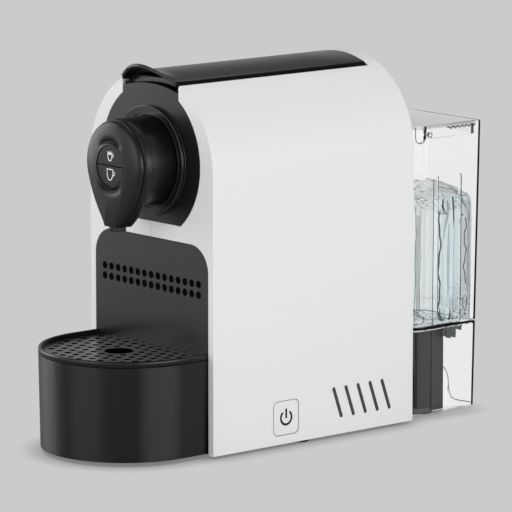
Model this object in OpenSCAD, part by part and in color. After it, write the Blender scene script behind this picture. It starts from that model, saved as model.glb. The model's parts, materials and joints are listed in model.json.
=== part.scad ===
// Pod coffee machine: arched two-part shell, lever lid, capsule drawer with drip tray,
// brewing group on a horizontal axis, vibration pump, heater block and a lift-off tank.
// Inside the modules y = 0 is the front face, z = 0 the lower edge of the shell and the
// machine faces -Y. placed() moves all of it onto the centre of the footprint.

/* [Body] */
// Width of the shell across its sides
body_w = 118; // [114:1:124]
// Depth of the shell, front face to rear edge
body_d = 162.6; // [160:0.5:172]
// Height of the centre of the arched top
arch_h = 169.9; // [168:0.5:180]
// Wall of the moulded shell
shell_wall = 2.2; // [1.8:0.1:2.6]
// Seam between the two halves of the shell
seam_w = 0.3; // [0.1:0.05:0.6]
// Height of the rubber feet below the shell
foot_h = 2; // [1:0.5:4]
// Radius of a rubber foot
foot_r = 6; // [4:0.5:7]
// Floor thickness of the base plate
base_t = 2.2; // [1.8:0.1:3]

/* [Lever lid] */
// Width of the lever lid
lid_w = 54; // [52:0.5:54.5]
// Length of the shell's top behind the lever lid
lid_back = 11.4; // [9:0.2:13]
// Radius of the crown across the lid
lid_crown = 80; // [70:1:100]
// Skin thickness of the lid
lid_t = 2.2; // [1.6:0.1:2.6]
// Gap between lid and shell
lid_gap = 0.4; // [0.3:0.05:0.6]
// Reach of the finger lip in front of the face
lip_reach = 8.2; // [4:0.1:11]
// Rise of the finger lip above the crown
lip_rise = 4.8; // [2:0.1:8]
// Opening angle of the lever
lever_angle = 72; // [60:1:76]
// Distance from the lid's rear end forward to its hinge
hinge_back = 25; // [24:0.5:27]
// Depth of the hinge below the crown of the lid
hinge_drop = 15.9; // [15.5:0.1:17]
// Radius of the lever axle
axle_r = 2.5; // [2:0.1:2.8]

/* [Brewing head] */
// Height of the brewing axis above the centre of the arch
axis_rise = 4.6; // [3:0.2:6]
// Radius of the round head plate
plate_r = 46.7; // [44:0.5:49]
// Half width of the neck of the head plate
neck_half = 26.4; // [25:0.2:26.6]
// Drop from the brewing axis to the straight lower edge of the plate
plate_cut = 37.2; // [35:0.2:39]
// Outer radius of the bezel ring
ring_r = 33.5; // [32:0.5:36]
// Outer radius of the barrel that carries the head
barrel_r = 27.4; // [26:0.2:28]
// Length of the barrel in front of the face
barrel_l = 20; // [16:0.5:26]
// Radius of the rounded top of the head
head_r = 27.6; // [27:0.1:30]
// Drop from the brewing axis to the flat bottom of the head
head_drop = 38.2; // [36:0.2:41]
// Depth of the rear shell of the head
back_d = 5.6; // [5:0.1:8]
// Depth of the domed cover of the head
dome_d = 6; // [5.5:0.1:8]
// Radius of the pair of cup buttons
button_r = 12.4; // [11:0.1:13]
// Travel of a cup button
button_travel = 0.8; // [0.5:0.1:1]
// Radius of the coffee nozzle
nozzle_r = 4.4; // [4:0.1:5]

/* [Drawer] */
// Width of the perforated front panel
panel_w = 108; // [104:0.5:110]
// Height of the top edge of the front panel
panel_top = 127; // [122:0.5:129]
// Radius of its upper corners
panel_corner = 16; // [10:1:20]
// Panel thickness
panel_t = 2.5; // [2:0.1:3]
// Pitch of the panel perforation
perf_pitch = 6.45; // [6:0.05:6.8]
// Diameter of a panel perforation
perf_d = 4.7; // [3:0.1:5]
// Columns of the panel perforation
perf_cols = 15; // [9:2:15]
// Width of the used capsule bin
bin_w = 84; // [76:1:86]
// Space between the used capsule bin and the heater behind it
bin_space = 11.1; // [9:0.1:20]
// Height of the used capsule bin
bin_h = 92; // [70:1:98]
// Wall of the bin
bin_wall = 1.8; // [1.4:0.1:2.4]

/* [Drip tray] */
// Radius of the round front of the tray at its upper edge
tray_r = 53.75; // [50:0.25:54]
// Length of its straight sides
tray_straight = 19.4; // [15:0.2:26]
// Height of the parting line between tray and rim
tray_top = 58.6; // [50:0.2:64]
// Narrowing of the tray towards its bottom, on the radius
tray_draft = 0.9; // [0:0.1:2]
// Wall of the tray
tray_wall = 2; // [1.6:0.1:2.6]
// Height of the rim above the parting line
rim_h = 3.6; // [3.5:0.1:6]
// Depth of the grid below the rim
grid_sink = 2.9; // [2:0.1:3.2]
// Thickness of the grid plate
grid_t = 0.7; // [0.6:0.05:0.7]
// Diameter of a grid hole
grid_hole_d = 4.4; // [2.5:0.1:5]
// Pitch of the grid holes
grid_pitch = 8; // [7:0.1:10]
// Radius of the finger hole in the grid
finger_r = 9; // [6:0.1:9]

/* [Water tank] */
// Width of the tank at its rim
tank_w = 110; // [106:0.5:114]
// Depth of the tank at its rim
tank_d = 60; // [58:0.5:72]
// Height of the rim of the tank
tank_rim = 184.4; // [176:0.2:194]
// Narrowing of each side and of the rear towards the foot
tank_draft = 2.3; // [0:0.1:3]
// Wall of the tank
tank_wall = 2.2; // [1.8:0.1:2.6]
// Radius of the tank's front corners
tank_corner = 16; // [12:0.5:18]
// Height of the upper face of the tank floor
tank_floor = 56; // [50:0.5:62]
// Floor thickness
tank_floor_t = 2.7; // [2:0.1:3]
// Opening angle of the tank lid
tank_lid_angle = 85; // [60:1:90]
// Distance of the tank lid's hinge behind the front wall
tank_hinge_y = 17.6; // [17:0.2:20]

/* [Dock] */
// Width of the block that carries the tank
dock_w = 90; // [84:1:94]
// Depth of the block behind the shell
dock_d = 38.7; // [36:0.5:42]
// Radius of the valve socket
socket_r = 8.6; // [8:0.1:9.5]
// Radius of the cord gland's bore
gland_r = 3.5; // [3:0.1:4]

/* [Brewing group] */
// Outer radius of the capsule cage
cage_r = 22; // [21:0.1:22.6]
// Depth of the capsule chamber
chamber_d = 28; // [26:0.5:30]
// Radius of the chamber at its mouth
chamber_r = 15.2; // [14.5:0.1:15.8]
// Travel of the capsule cage
cage_travel = 30; // [27:0.5:31]
// Radius of the hot water feed tube
feed_r = 2.5; // [2:0.1:3]
// Radius of the crank pin and of the drive pin
pin_r = 2.5; // [2:0.1:2.7]
// Crank radius of the lever
crank_r = 17; // [16:0.5:18]
// Height of the lever hinge above the rocker pivot
rocker_drop = 34; // [33:0.5:36]

/* [Power button] */
// Width of the power button
power_w = 20; // [16:0.5:22]
// Height of the power button
power_h = 21; // [16:0.5:23]
// Travel of the power button
power_travel = 1.5; // [1:0.1:1.8]

/* [Fits] */
// Clearance between parts that move past each other
slide_gap = 0.3; // [0.25:0.05:0.4]
// Visible gap around inlaid panels
inlay_gap = 0.35; // [0.2:0.05:0.6]
// Radial clearance of a pin in its bore
run_fit = 0.06; // [0.03:0.01:0.1]

/* [Hidden] */
$fn = 96;

// ---- derived sizes: body
arch_r = body_w / 2;
inner_r = arch_r - shell_wall;
crown_z = arch_h + arch_r;
lid_l = body_d - lid_back;
brew_z = arch_h + axis_rise;
plate_crest = 95;
tank_gap = 0.8;
tank_y = body_d + tank_gap;
tray_reach = tray_r + tray_straight;
overall_d = tray_reach + tank_y + tank_d;
front_y = tray_reach - overall_d / 2;
base_z = 0.6;
base_top = base_z + base_t;
cover_t = 3;
cover_y = body_d - cover_t;
base_half = inner_r - slide_gap;

// ---- lever lid and linkage
lid_half = lid_w / 2;
hinge_y = lid_l - hinge_back;
hinge_z = crown_z - hinge_drop;
crank_in = [17, 20];
crank_y = hinge_y + crank_r * sin(lever_angle / 2);
crank_z = hinge_z - crank_r * cos(lever_angle / 2);
rocker_z = hinge_z - rocker_drop;
rocker_half = atan((crank_y - hinge_y) / (crank_z - rocker_z));
drive_r = cage_travel / 2 / sin(rocker_half);
drive_y = hinge_y - cage_travel / 2;
drive_z = rocker_z - drive_r * cos(rocker_half);
rocker_in = [24, 26.2];
frame_in = lid_half + 0.6;
frame_t = 2.8;
frame_out = frame_in + frame_t;

// ---- stack behind the face, front to rear
flange_t = 1.8;
plate_back = shell_wall + flange_t;
barrel_flange_t = 2.2;
frame_y = plate_back + barrel_flange_t;
wall_t = 3;
frame_face = frame_y + wall_t;
pierce_t = 2;
pierce_y = frame_face + pierce_t;
cage_y = pierce_y + 2.6;
cage_back_t = 6;
cage_l = chamber_d + cage_back_t;
neck_r = 5.5;
neck_l = cage_travel + 12;
rail_z = [5.2, 14.2];
carrier_y = cage_y + 22;
carrier_t = 12;
arm_in = [19.5, 23.2];
bridge_y = hinge_y + 12;
bridge_t = 5;

// ---- head in front of the face
head_y = -barrel_l;
part_y = head_y - back_d;
part_gap = 0.4;
cover_back = part_y - part_gap;
nose_y = cover_back - dome_d;
head_bottom = brew_z - head_drop;
head_wall = 2;
dish_r = 17.4;
dish_depth = 1.5;
button_face = nose_y + 0.5;
button_z = brew_z - 0.8;
nozzle_y = part_y - part_gap / 2;

// ---- drawer and tray
panel_low = 0.75;
bin_z = base_top + 0.8;
rim_top = tray_top + slide_gap + rim_h;
grid_top = rim_top - grid_sink;
ledge_w = 1.4;

// ---- tank and dock
dock_top = tank_floor - tank_floor_t - 1;
dock_rear = body_d + dock_d;
socket_y = body_d + 22.4;
socket_floor = dock_top - 11.3;
seal_t = 3;
tank_foot = 0.9;
lid_plate_t = 2.3;
lid_skirt = 6.4;
lid_hinge_z = tank_rim - 6.1;
lid_hinge_y = tank_y + tank_hinge_y;
lid_pin_r = 1.5;
lid_fit = 0.5;
poppet_lift = 2.4;

// ---- heater, pump and tubes
pump_x = -30;
pump_y = body_d - 32.6;
pump_r = 9;
collar_r = 16;
heater_x = [2, 48];
heater_y = [body_d - 54, body_d - 28];
bin_l = heater_y[0] - bin_space - panel_t;
heater_z = [40, 128];
meter_y = body_d - 16.6;
meter_r = 11;
suction_z = 36;
tube_r = 2.5;
hot_x = 40;
hot_y = body_d - 10.6;

// ---- places of feet, screws and side openings
foot_places = [[base_half - 20.5, 10], [base_half - foot_r - 0.5, 76], [base_half - 18.5, body_d + 27.4]];
screw_x = inner_r - 4.3;
screw_rows = [22, 150];
base_screw_y = [32, 88];
screw_r = 1.4;
screw_head_r = 2.8;
screw_head_t = 1.7;
power_y = 57.9;
power_z = 16.25;
power_corner = 3.5;
vent_pitch = 10;
vent_count = 5;
vent_first = body_d - 22.8 - vent_pitch * (vent_count - 1);
vent_z = 20;
vent_run = 20.5;
vent_lean = 19.4;
vent_w = 1.9;

// ================= helpers =================
module placed() translate([0, front_y, foot_h]) children();
module mirror_x() {
    children();
    mirror([1, 0, 0]) children();
}
module box(x, y, z) translate([x[0], y[0], z[0]]) cube([x[1] - x[0], y[1] - y[0], z[1] - z[0]]);
module xcyl(r, x, y, z) translate([x[0], y, z]) rotate([0, 90, 0]) cylinder(r = r, h = x[1] - x[0]);
module ycyl(r, y, x, z) translate([x, y[1], z]) rotate([90, 0, 0]) cylinder(r = r, h = y[1] - y[0]);
module zcyl(r, z, x, y) translate([x, y, z[0]]) cylinder(r = r, h = z[1] - z[0]);
// a drawing in x and z, made solid from y[0] to y[1]
module slab_y(y) translate([0, y[1], 0]) rotate([90, 0, 0]) linear_extrude(y[1] - y[0]) children();
// a drawing in y and z, made solid from x[0] to x[1]
module slab_x(x) translate([x[0], 0, 0]) rotate([90, 0, 90]) linear_extrude(x[1] - x[0]) children();
module slab_z(z) translate([0, 0, z[0]]) linear_extrude(z[1] - z[0]) children();
module rect(x, y) translate([x[0], y[0]]) square([x[1] - x[0], y[1] - y[0]]);
module disc(r, at) translate(at) circle(r);
module bar(a, b, w) {
    d = b - a;
    translate(a) rotate(atan2(d[1], d[0])) translate([0, -w]) square([norm(d), 2 * w]);
}
// tube along straight runs with rounded bends
module pipe(pts, r) {
    for (i = [0 : len(pts) - 2]) {
        d = pts[i + 1] - pts[i];
        translate(pts[i]) rotate([0, acos(d[2] / norm(d)), atan2(d[1], d[0])]) cylinder(r = r, h = norm(d));
        if (i > 0) translate(pts[i]) sphere(r);
    }
}
function crown(x) = crown_z - lid_crown + sqrt(lid_crown * lid_crown - x * x);
function arch(x, r) = arch_h + sqrt(r * r - x * x);

// ================= shell =================
module arch_2d(r, low) {
    disc(r, [0, arch_h]);
    rect([-r, r], [low, arch_h]);
}
// outline of the head plate, grown by g all round
module plate_2d(g) {
    intersection() {
        union() {
            disc(plate_r + g, [0, brew_z]);
            rect([-neck_half - g, neck_half + g], [brew_z, crown_z]);
        }
        rect([-plate_r - g, plate_r + g], [brew_z - plate_cut - g, crown_z]);
        disc(plate_crest + g, [0, crown_z - 7.6 - plate_crest]);
    }
}
module panel_2d(g) {
    half = panel_w / 2 + g;
    rc = panel_corner + g;
    rect([-half, half], [panel_low - g, panel_top + g - rc]);
    rect([rc - half, half - rc], [panel_low, panel_top + g]);
    for (s = [-1, 1]) disc(rc, [s * (half - rc), panel_top + g - rc]);
}
// space that the rear end of the lid sweeps as the lever opens
module lid_sweep(g) {
    half = lid_half + g;
    steps = 12;
    edge = [for (i = [0 : steps]) let (x = -half + 2 * half * i / steps)
        [norm([hinge_back, crown(x) - hinge_z]) + g, x]];
    translate([0, hinge_y, hinge_z]) rotate([0, 90, 0])
        rotate_extrude() polygon(concat([[0, -half]], edge, [[0, half]]));
}
module vent_slots_2d() {
    for (i = [0 : vent_count - 1]) translate([vent_first + i * vent_pitch, vent_z]) rotate(vent_lean) {
        half = vent_run / 2 - vent_w / 2;
        rect([-vent_w / 2, vent_w / 2], [-half, half]);
        for (s = [-1, 1]) disc(vent_w / 2, [0, s * half]);
    }
}
module power_2d(g) {
    half = [power_w / 2 + g, power_h / 2 + g];
    rc = power_corner + g;
    translate([power_y, power_z]) {
        rect([-half[0], half[0]], [rc - half[1], half[1] - rc]);
        rect([rc - half[0], half[0] - rc], [-half[1], half[1]]);
        for (sx = [-1, 1], sz = [-1, 1]) disc(rc, [sx * (half[0] - rc), sz * (half[1] - rc)]);
    }
}
// right half of the shell, without side openings
module half_shell() {
    difference() {
        union() {
            difference() {
                slab_y([0, body_d]) arch_2d(arch_r, 0);
                slab_y([shell_wall, body_d + 1]) arch_2d(inner_r, -1);
                slab_y([-1, shell_wall + 1]) plate_2d(inlay_gap);
                slab_y([-1, shell_wall + 1])
                    rect([-neck_half - inlay_gap, neck_half + inlay_gap], [brew_z, crown_z]);
                slab_y([-1, shell_wall + 1]) panel_2d(inlay_gap);
                slab_y([-1, shell_wall + 1]) rect([-panel_w / 2 - inlay_gap, panel_w / 2 + inlay_gap], [-1, 2]);
                box([-lid_half - lid_gap, lid_half + lid_gap], [-1, shell_wall + 1], [crown_z - 7.4, crown_z + 1]);
                box([-lid_half - lid_gap, lid_half + lid_gap], [shell_wall, hinge_y], [crown_z - 14, crown_z + 1]);
                lid_sweep(lid_gap);
            }
            for (z = screw_rows) ycyl(4.6, [cover_y - 14, cover_y], screw_x, z);
            for (y = base_screw_y) zcyl(4.6, [base_top, base_top + 16], screw_x, y);
        }
        for (z = screw_rows) ycyl(screw_r + run_fit, [cover_y - 12, cover_y + 1], screw_x, z);
        for (y = base_screw_y) zcyl(screw_r + run_fit, [base_top - 1, base_top + 12], screw_x, y);
        box([-body_w, seam_w / 2], [-1, body_d + 1], [-1, crown_z + 1]);
        slab_x([inner_r - 1, arch_r + 1]) vent_slots_2d();
    }
}
module left_shell() color("whitesmoke") placed() mirror([1, 0, 0]) {
    half_shell();
    for (y = board_y, z = board_z) xcyl(2.5, [board_x, inner_r + 0.5], y, z);
}
module right_shell() color("whitesmoke") placed() difference() {
    half_shell();
    slab_x([inner_r - 1, arch_r + 1]) power_2d(inlay_gap);
}
module rear_cover() color("dimgray") placed() difference() {
    slab_y([cover_y, body_d]) arch_2d(inner_r - 0.1, base_top);
    mirror_x() for (z = screw_rows) {
        ycyl(screw_r + 0.2, [cover_y - 1, body_d + 1], screw_x, z);
        ycyl(screw_head_r + 0.2, [body_d - screw_head_t - 0.1, body_d + 1], screw_x, z);
    }
    ycyl(tube_r + 1.5, [cover_y - 1, body_d + 1], 0, suction_z);
}
module base_plate() color("dimgray") placed() difference() {
    union() {
        box([-base_half, base_half], [shell_wall + 0.8, cover_y], [base_z, base_top]);
        // guide ribs either side of the drawer
        mirror_x() box([bin_w / 2 + slide_gap, bin_w / 2 + slide_gap + 2], [6, bin_l], [base_top, base_top + 10]);
        zcyl(collar_r, [base_top, 28], pump_x, pump_y);
        zcyl(8, [base_top, meter_low], 0, meter_y);
        for (x = heater_posts) zcyl(4, [base_top, heater_z[0]], x, (heater_y[0] + heater_y[1]) / 2);
        zcyl(3, [base_top, power_z - 6], switch_x + 1, power_y);
    }
    zcyl(pump_r + 3 + run_fit, [base_top, 29], pump_x, pump_y);
    pipe([[drop_x, meter_y, 8], [drop_x, pump_y, 8], [pump_x, pump_y, 8]], tube_r + 0.5);
    mirror_x() for (y = base_screw_y) {
        zcyl(screw_r + 0.2, [base_z - 1, base_top + 1], screw_x, y);
        zcyl(screw_head_r + 0.2, [base_z - 1, base_z + screw_head_t - 0.6], screw_x, y);
    }
}
module rubber_feet() color("black") placed() mirror_x()
    for (p = foot_places) zcyl(foot_r, [-foot_h, base_z], p[0], p[1]);
module rear_screws() color("silver") placed() mirror_x() for (z = screw_rows) {
    ycyl(screw_head_r, [body_d - screw_head_t, body_d - 0.1], screw_x, z);
    ycyl(screw_r, [cover_y - 11, body_d - screw_head_t], screw_x, z);
}
module base_screws() color("silver") placed() mirror_x() for (y = base_screw_y) {
    zcyl(screw_head_r, [base_z - 0.5, base_z + screw_head_t - 0.6], screw_x, y);
    zcyl(screw_r, [base_z + screw_head_t - 0.6, base_top + 10], screw_x, y);
}
module vent_screens() color("black") placed() mirror_x()
    box([inner_r - 2.2, inner_r - 0.2], [vent_first - 6.3, vent_first + vent_pitch * (vent_count - 1) + 5.2],
        [base_top, vent_z + vent_run / 2 + 3]);

// ================= dock =================
module dock_block() color("#222222") placed() difference() {
    box([-dock_w / 2, dock_w / 2], [body_d, dock_rear], [base_z, dock_top]);
    difference() {
        box([2.5 - dock_w / 2, dock_w / 2 - 2.5], [body_d - 1, dock_rear - 2.5], [base_z - 1, dock_top - 2.5]);
        mirror_x() zcyl(foot_r, [base_z - 1, dock_top], foot_places[2][0], foot_places[2][1]);
        box([gland_x - 8, gland_x + 8], [dock_rear - 6, dock_rear], [gland_z - 8, gland_z + 8]);
    }
    zcyl(socket_r + 3.5, [dock_top - 3, dock_top + 1], 0, socket_y);
    ycyl(gland_r + 3, [dock_rear - 9, dock_rear + 1], gland_x, gland_z);
}
gland_x = -20;
gland_z = 12;
module dock_socket() color("gray") placed() difference() {
    union() {
        zcyl(socket_r + 3.4, [socket_floor - 11, dock_top], 0, socket_y);
        zcyl(socket_r + 5, [dock_top - 4.5, dock_top - 2.5], 0, socket_y);
        ycyl(2, [socket_y - socket_r - 8, socket_y - socket_r], 0, suction_z);
    }
    difference() {
        zcyl(socket_r, [socket_floor, dock_top + 1], 0, socket_y);
        zcyl(1.5, [socket_floor, dock_top - 0.8], 0, socket_y);
    }
    ycyl(1.2, [socket_y - socket_r - 9, socket_y - 4], 0, suction_z);
    zcyl(1.2, [suction_z, socket_floor + 1], 0, socket_y - 5);
}
module dock_seal() color("black") placed() difference() {
    zcyl(socket_r - 0.1, [socket_floor, socket_floor + seal_t], 0, socket_y);
    zcyl(6.2, [socket_floor - 1, socket_floor + seal_t + 1], 0, socket_y);
}
module cord_gland() color("black") placed() difference() {
    union() {
        ycyl(gland_r + 2.9, [dock_rear - 8, dock_rear], gland_x, gland_z);
        ycyl(gland_r + 4, [dock_rear, dock_rear + 2], gland_x, gland_z);
    }
    ycyl(gland_r, [dock_rear - 9, dock_rear + 3], gland_x, gland_z);
}

// ================= head =================
module head_plate() color("#303030") placed() difference() {
    union() {
        slab_y([0, shell_wall]) plate_2d(0);
        slab_y([shell_wall, plate_back]) intersection() {
            plate_2d(3);
            rect([-plate_r - 3, plate_r + 3], [0, crown_z - 10]);
            arch_2d(inner_r - 0.3, 0);
        }
    }
    ycyl(barrel_r + 0.1, [-1, plate_back + 1], 0, brew_z);
}
module head_ring() color("#303030") placed() translate([0, 0, brew_z]) rotate([90, 0, 0]) rotate_extrude()
    polygon([[barrel_r + 0.2, 0], [ring_r, 0], [ring_r - 0.2, 1.2], [ring_r - 1.3, 2.4], [ring_r - 3, 2.7],
        [barrel_r + 1.9, 2.5], [barrel_r + 1.7, 1.5], [barrel_r + 0.2, 1.5]]);
module brew_barrel() color("#262626") placed() difference() {
    union() {
        ycyl(barrel_r, [head_y, frame_y], 0, brew_z);
        ycyl(barrel_r + 5, [plate_back, frame_y], 0, brew_z);
    }
    ycyl(barrel_r - 2.4, [head_y - 1, frame_y - barrel_flange_t], 0, brew_z);
    ycyl(duct_r + 0.1, [plate_back - 1, frame_y + 1], 0, duct_z);
}
// drop-shaped outline of the head: round top, sides drawn in by large arcs, flat bottom
module drop_2d(g) {
    r = head_r - g;
    lean = 15;
    foot = 6.5 - 0.5 * g;
    low = head_bottom + g;
    depth = brew_z - low;
    // the side arc touches the round top and passes through the bottom corner
    k = (foot * foot + depth * depth - r * r) / (2 * (r - foot * cos(lean) - depth * sin(lean)));
    side = [-k * cos(lean), brew_z + k * sin(lean)];
    disc(r, [0, brew_z]);
    intersection() {
        disc(r + k, side);
        disc(r + k, [-side[0], side[1]]);
        rect([-head_r, head_r], [low, brew_z]);
    }
}
module nozzle_hole() zcyl(2.7, [head_bottom - 1, head_bottom + 12], 0, nozzle_y);
module head_back() color("#303030") placed() difference() {
    slab_y([part_y, head_y]) drop_2d(0);
    slab_y([part_y - 1, head_y - head_wall]) drop_2d(head_wall);
    ycyl(barrel_r - 5, [head_y - head_wall - 1, head_y + 1], 0, brew_z);
    nozzle_hole();
}
// layers of the dome: [distance behind the nose, radius, drop of centre, half width of the foot]
dome_layers = [[dome_d, head_r, 0, 6.5], [4.6, head_r - 0.5, 0, 6.4], [2.8, head_r - 2.2, 0.4, 6],
    [1.1, head_r - 5.6, 1.4, 5.6], [0.25, head_r - 9.6, 2.6, 5.4], [0, head_r - 12, 3, 5.2]];
module dome(g) {
    hull() for (l = dome_layers) slab_y([nose_y + l[0] + g - 0.02, nose_y + l[0] + g]) {
        disc(l[1] - g, [0, brew_z - l[2]], $fn = 48);
        rect([g - l[3], l[3] - g], [head_bottom + g, brew_z]);
        disc(max(l[3] * 2.05, 4) - g, [0, head_bottom + 13.4 + g], $fn = 32);
    }
}
module head_cover() color("#303030") placed() difference() {
    union() {
        dome(0);
        slab_y([cover_back, part_y + 1.6]) difference() {
            drop_2d(head_wall + 0.2);
            drop_2d(head_wall + 1.8);
        }
    }
    difference() {
        translate([0, 0.05, 0]) dome(head_wall);
        box([-3, 3], [nose_y, cover_back + 1], [head_bottom, head_bottom + 3]);
    }
    ycyl(dish_r, [nose_y - 1, nose_y + dish_depth], 0, button_z);
    ycyl(button_r + 0.25, [nose_y - 1, cover_back], 0, button_z);
    nozzle_hole();
}
module spout_nozzle() color("black") placed() difference() {
    union() {
        zcyl(nozzle_r, [head_bottom - 2.9, head_bottom - 0.1], 0, nozzle_y);
        for (a = [0 : 45 : 315]) zcyl(0.7, [head_bottom - 2.9, head_bottom - 0.1],
            nozzle_r * cos(a), nozzle_y + nozzle_r * sin(a));
        zcyl(2.5, [head_bottom - 0.1, duct_low], 0, nozzle_y);
    }
    zcyl(1.5, [head_bottom - 4, duct_low + 1], 0, nozzle_y);
    box([-0.6, 0.6], [nozzle_y - nozzle_r - 1, nozzle_y + nozzle_r + 1], [head_bottom - 3.5, head_bottom - 1.9]);
}
duct_r = 3.4;
duct_z = brew_z - 18;
duct_low = head_bottom + 9;
module coffee_duct() color("gray") placed() difference() {
    pipe([[0, frame_y, duct_z], [0, nozzle_y, duct_z], [0, nozzle_y, duct_low]], duct_r);
    pipe([[0, frame_y + 1, duct_z], [0, nozzle_y, duct_z], [0, nozzle_y, duct_low - 1]], duct_r - 1.2);
}
board_low = duct_z + duct_r + 0.6;
module button_board() color("darkgreen") placed() {
    box([-13, 13], [part_y + 1.9, part_y + 3.5], [board_low, brew_z + 11]);
    for (s = [-1, 1]) box([-3, 3], [switch_face, part_y + 1.9], [button_z + s * 6.2 - 3, button_z + s * 6.2 + 3]);
    mirror_x() ycyl(1.6, [part_y + 3.5, head_y - head_wall], 11, brew_z + 9);
}
button_back = cover_back + 1.2;
switch_face = button_back + button_travel + 0.1;
// half-round cup button; s = 1 is the upper one
module cup_button(s) intersection() {
    union() {
        ycyl(button_r, [button_face, cover_back + 0.2], 0, button_z);
        ycyl(button_r + 1, [nose_y + dome_d - 2, button_back], 0, button_z);
    }
    box([-20, 20], [nose_y - 1, button_back + 1],
        s > 0 ? [button_z + 0.3, button_z + 20] : [button_z - 20, button_z - 0.3]);
}
module small_cup_button() color("#262626") placed() cup_button(1);
module large_cup_button() color("#262626") placed() cup_button(-1);

// ================= power button and boards =================
switch_x = bin_w / 2 + slide_gap + 2.6;
module power_button() color("whitesmoke") placed() {
    slab_x([inner_r - slide_gap, arch_r]) power_2d(0);
    slab_x([inner_r - slide_gap - 1.4, inner_r - slide_gap]) power_2d(1.6);
    xcyl(2, [switch_x + 2.2 + power_travel + 0.3, inner_r - slide_gap - 1.4], power_y, power_z);
}
module power_switch() color("darkgreen") placed() {
    box([switch_x, switch_x + 1.2], [power_y - 9, power_y + 9], [power_z - 6, power_z + 10]);
    box([switch_x + 1.2, switch_x + 2.2], [power_y - 3, power_y + 3], [power_z - 3, power_z + 3]);
}
board_x = inner_r - 2.4;
board_y = [24, 88];
board_z = [46, 106];
module control_board() color("darkgreen") placed() mirror([1, 0, 0]) {
    box([board_x - 1.6, board_x], [board_y[0] - 6, board_y[1] + 6], [board_z[0] - 6, board_z[1] + 6]);
    for (i = [0 : 2]) xcyl(4, [bin_w / 2 + 1.5, board_x - 1.6], 34 + i * 11, 60);
    box([bin_w / 2 + 2, board_x - 1.6], [62, 80], [52, 66]);
    box([bin_w / 2 + 2, board_x - 1.6], [30, 56], [80, 100]);
}

// ================= brewing group =================
// side wall of the frame: a long plate, ears for the lever axle and a tab to the rear cover
module frame_side_2d() difference() {
    union() {
        rect([frame_face, hinge_y - 18], [brew_z - 24.5, chute_z]);
        rect([hinge_y - 18, bridge_y + bridge_t], [brew_z - 12, brew_z + 24]);
        rect([hinge_y - 6, hinge_y + 6], [brew_z, hinge_z]);
        rect([bridge_y, cover_y], [brew_z + 4, brew_z + 12]);
        disc(ear_r, [hinge_y, hinge_z]);
    }
    disc(axle_r + run_fit, [hinge_y, hinge_z]);
    disc(pin_r + run_fit, [hinge_y, rocker_z]);
}
ear_r = min(6, arch(frame_out, inner_r) - hinge_z - 0.2);
chute_z = min(crown_z - 14.9, arch(frame_out, inner_r) - 3);
module brew_frame() color("#444444") placed() difference() {
    union() {
        box([-frame_out, frame_out], [frame_y, frame_face], [brew_z - 29.5, chute_z]);
        mirror_x() slab_x([frame_in, frame_out]) frame_side_2d();
        // rails that hold the wings of the cage carrier
        mirror_x() for (z = [-rail_z[1], rail_z[0]])
            box([arm_in[1] + 0.8, frame_in], [frame_face, hinge_y - 26], [brew_z + z, brew_z + z + rail_z[1] - rail_z[0]]);
        box([-frame_in, frame_in], [bridge_y, bridge_y + bridge_t], [brew_z - 6, brew_z + 6]);
    }
    ycyl(feed_r + run_fit, [bridge_y - 1, bridge_y + bridge_t + 1], 0, brew_z);
    ycyl(duct_r - 1.2, [frame_y - 1, frame_face + 1], 0, duct_z);
}
module pierce_plate() color("silver") placed() {
    ycyl(cage_r - 1.4, [frame_face, pierce_y], 0, brew_z);
    for (i = [-2 : 2], k = [-2 : 2]) if (norm([i, k]) < 2.7)
        translate([i * 4.4, pierce_y, brew_z + k * 4.4]) rotate([-90, 0, 0]) cylinder(r1 = 1.5, r2 = 0.3, h = 1.3);
}
module chute_cover() color("#303030") placed() difference() {
    union() {
        box([-frame_out, frame_out], [frame_y, hinge_y - 19], [chute_z, chute_z + 2]);
        box([-chute_half - 1.6, chute_half + 1.6], [chute_y[0] - 1.6, chute_y[1] + 1.6], [brew_z + cage_r + 2.6, chute_z]);
    }
    box([-chute_half, chute_half], chute_y, [brew_z, chute_z + 3]);
}
chute_half = 19.7;
chute_y = [pierce_y + 1.9, cage_y + 31];
module lever_axle() color("silver") placed() xcyl(axle_r, [-frame_out, frame_out], hinge_y, hinge_z);
module rocker_pins() color("silver") placed() mirror_x()
    xcyl(pin_r, [rocker_in[0] - 0.6, frame_out], hinge_y, rocker_z);
module feed_tube() color("silver") placed() difference() {
    ycyl(feed_r, [cage_y + cage_l + cage_travel + 2, bridge_y + bridge_t + 3], 0, brew_z);
    ycyl(feed_r - 1, [cage_y, bridge_y + bridge_t + 4], 0, brew_z);
}
module capsule_cage() color("#555555") placed() difference() {
    union() {
        ycyl(cage_r, [cage_y, cage_y + cage_l], 0, brew_z);
        ycyl(neck_r, [cage_y + cage_l, cage_y + cage_l + neck_l], 0, brew_z);
    }
    translate([0, cage_y - 0.01, brew_z]) rotate([-90, 0, 0])
        cylinder(r1 = chamber_r, r2 = chamber_r - 2.6, h = chamber_d + 0.01);
    ycyl(feed_r + run_fit, [cage_y + cage_l + 0.5, cage_y + cage_l + neck_l + 1], 0, brew_z);
    ycyl(1, [cage_y, cage_y + cage_l + 1], 0, brew_z);
}
module cage_seal() color("black") placed() difference() {
    ycyl(cage_r - 2.6, [cage_y - 0.9, cage_y], 0, brew_z);
    ycyl(chamber_r + 0.8, [cage_y - 2, cage_y + 1], 0, brew_z);
}
module cage_needles() color("silver") placed() for (a = [90, 210, 330])
    translate([5 * cos(a), cage_y + chamber_d, brew_z + 5 * sin(a)]) rotate([90, 0, 0])
        cylinder(r1 = 1.6, r2 = 0.3, h = 5.5);
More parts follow.
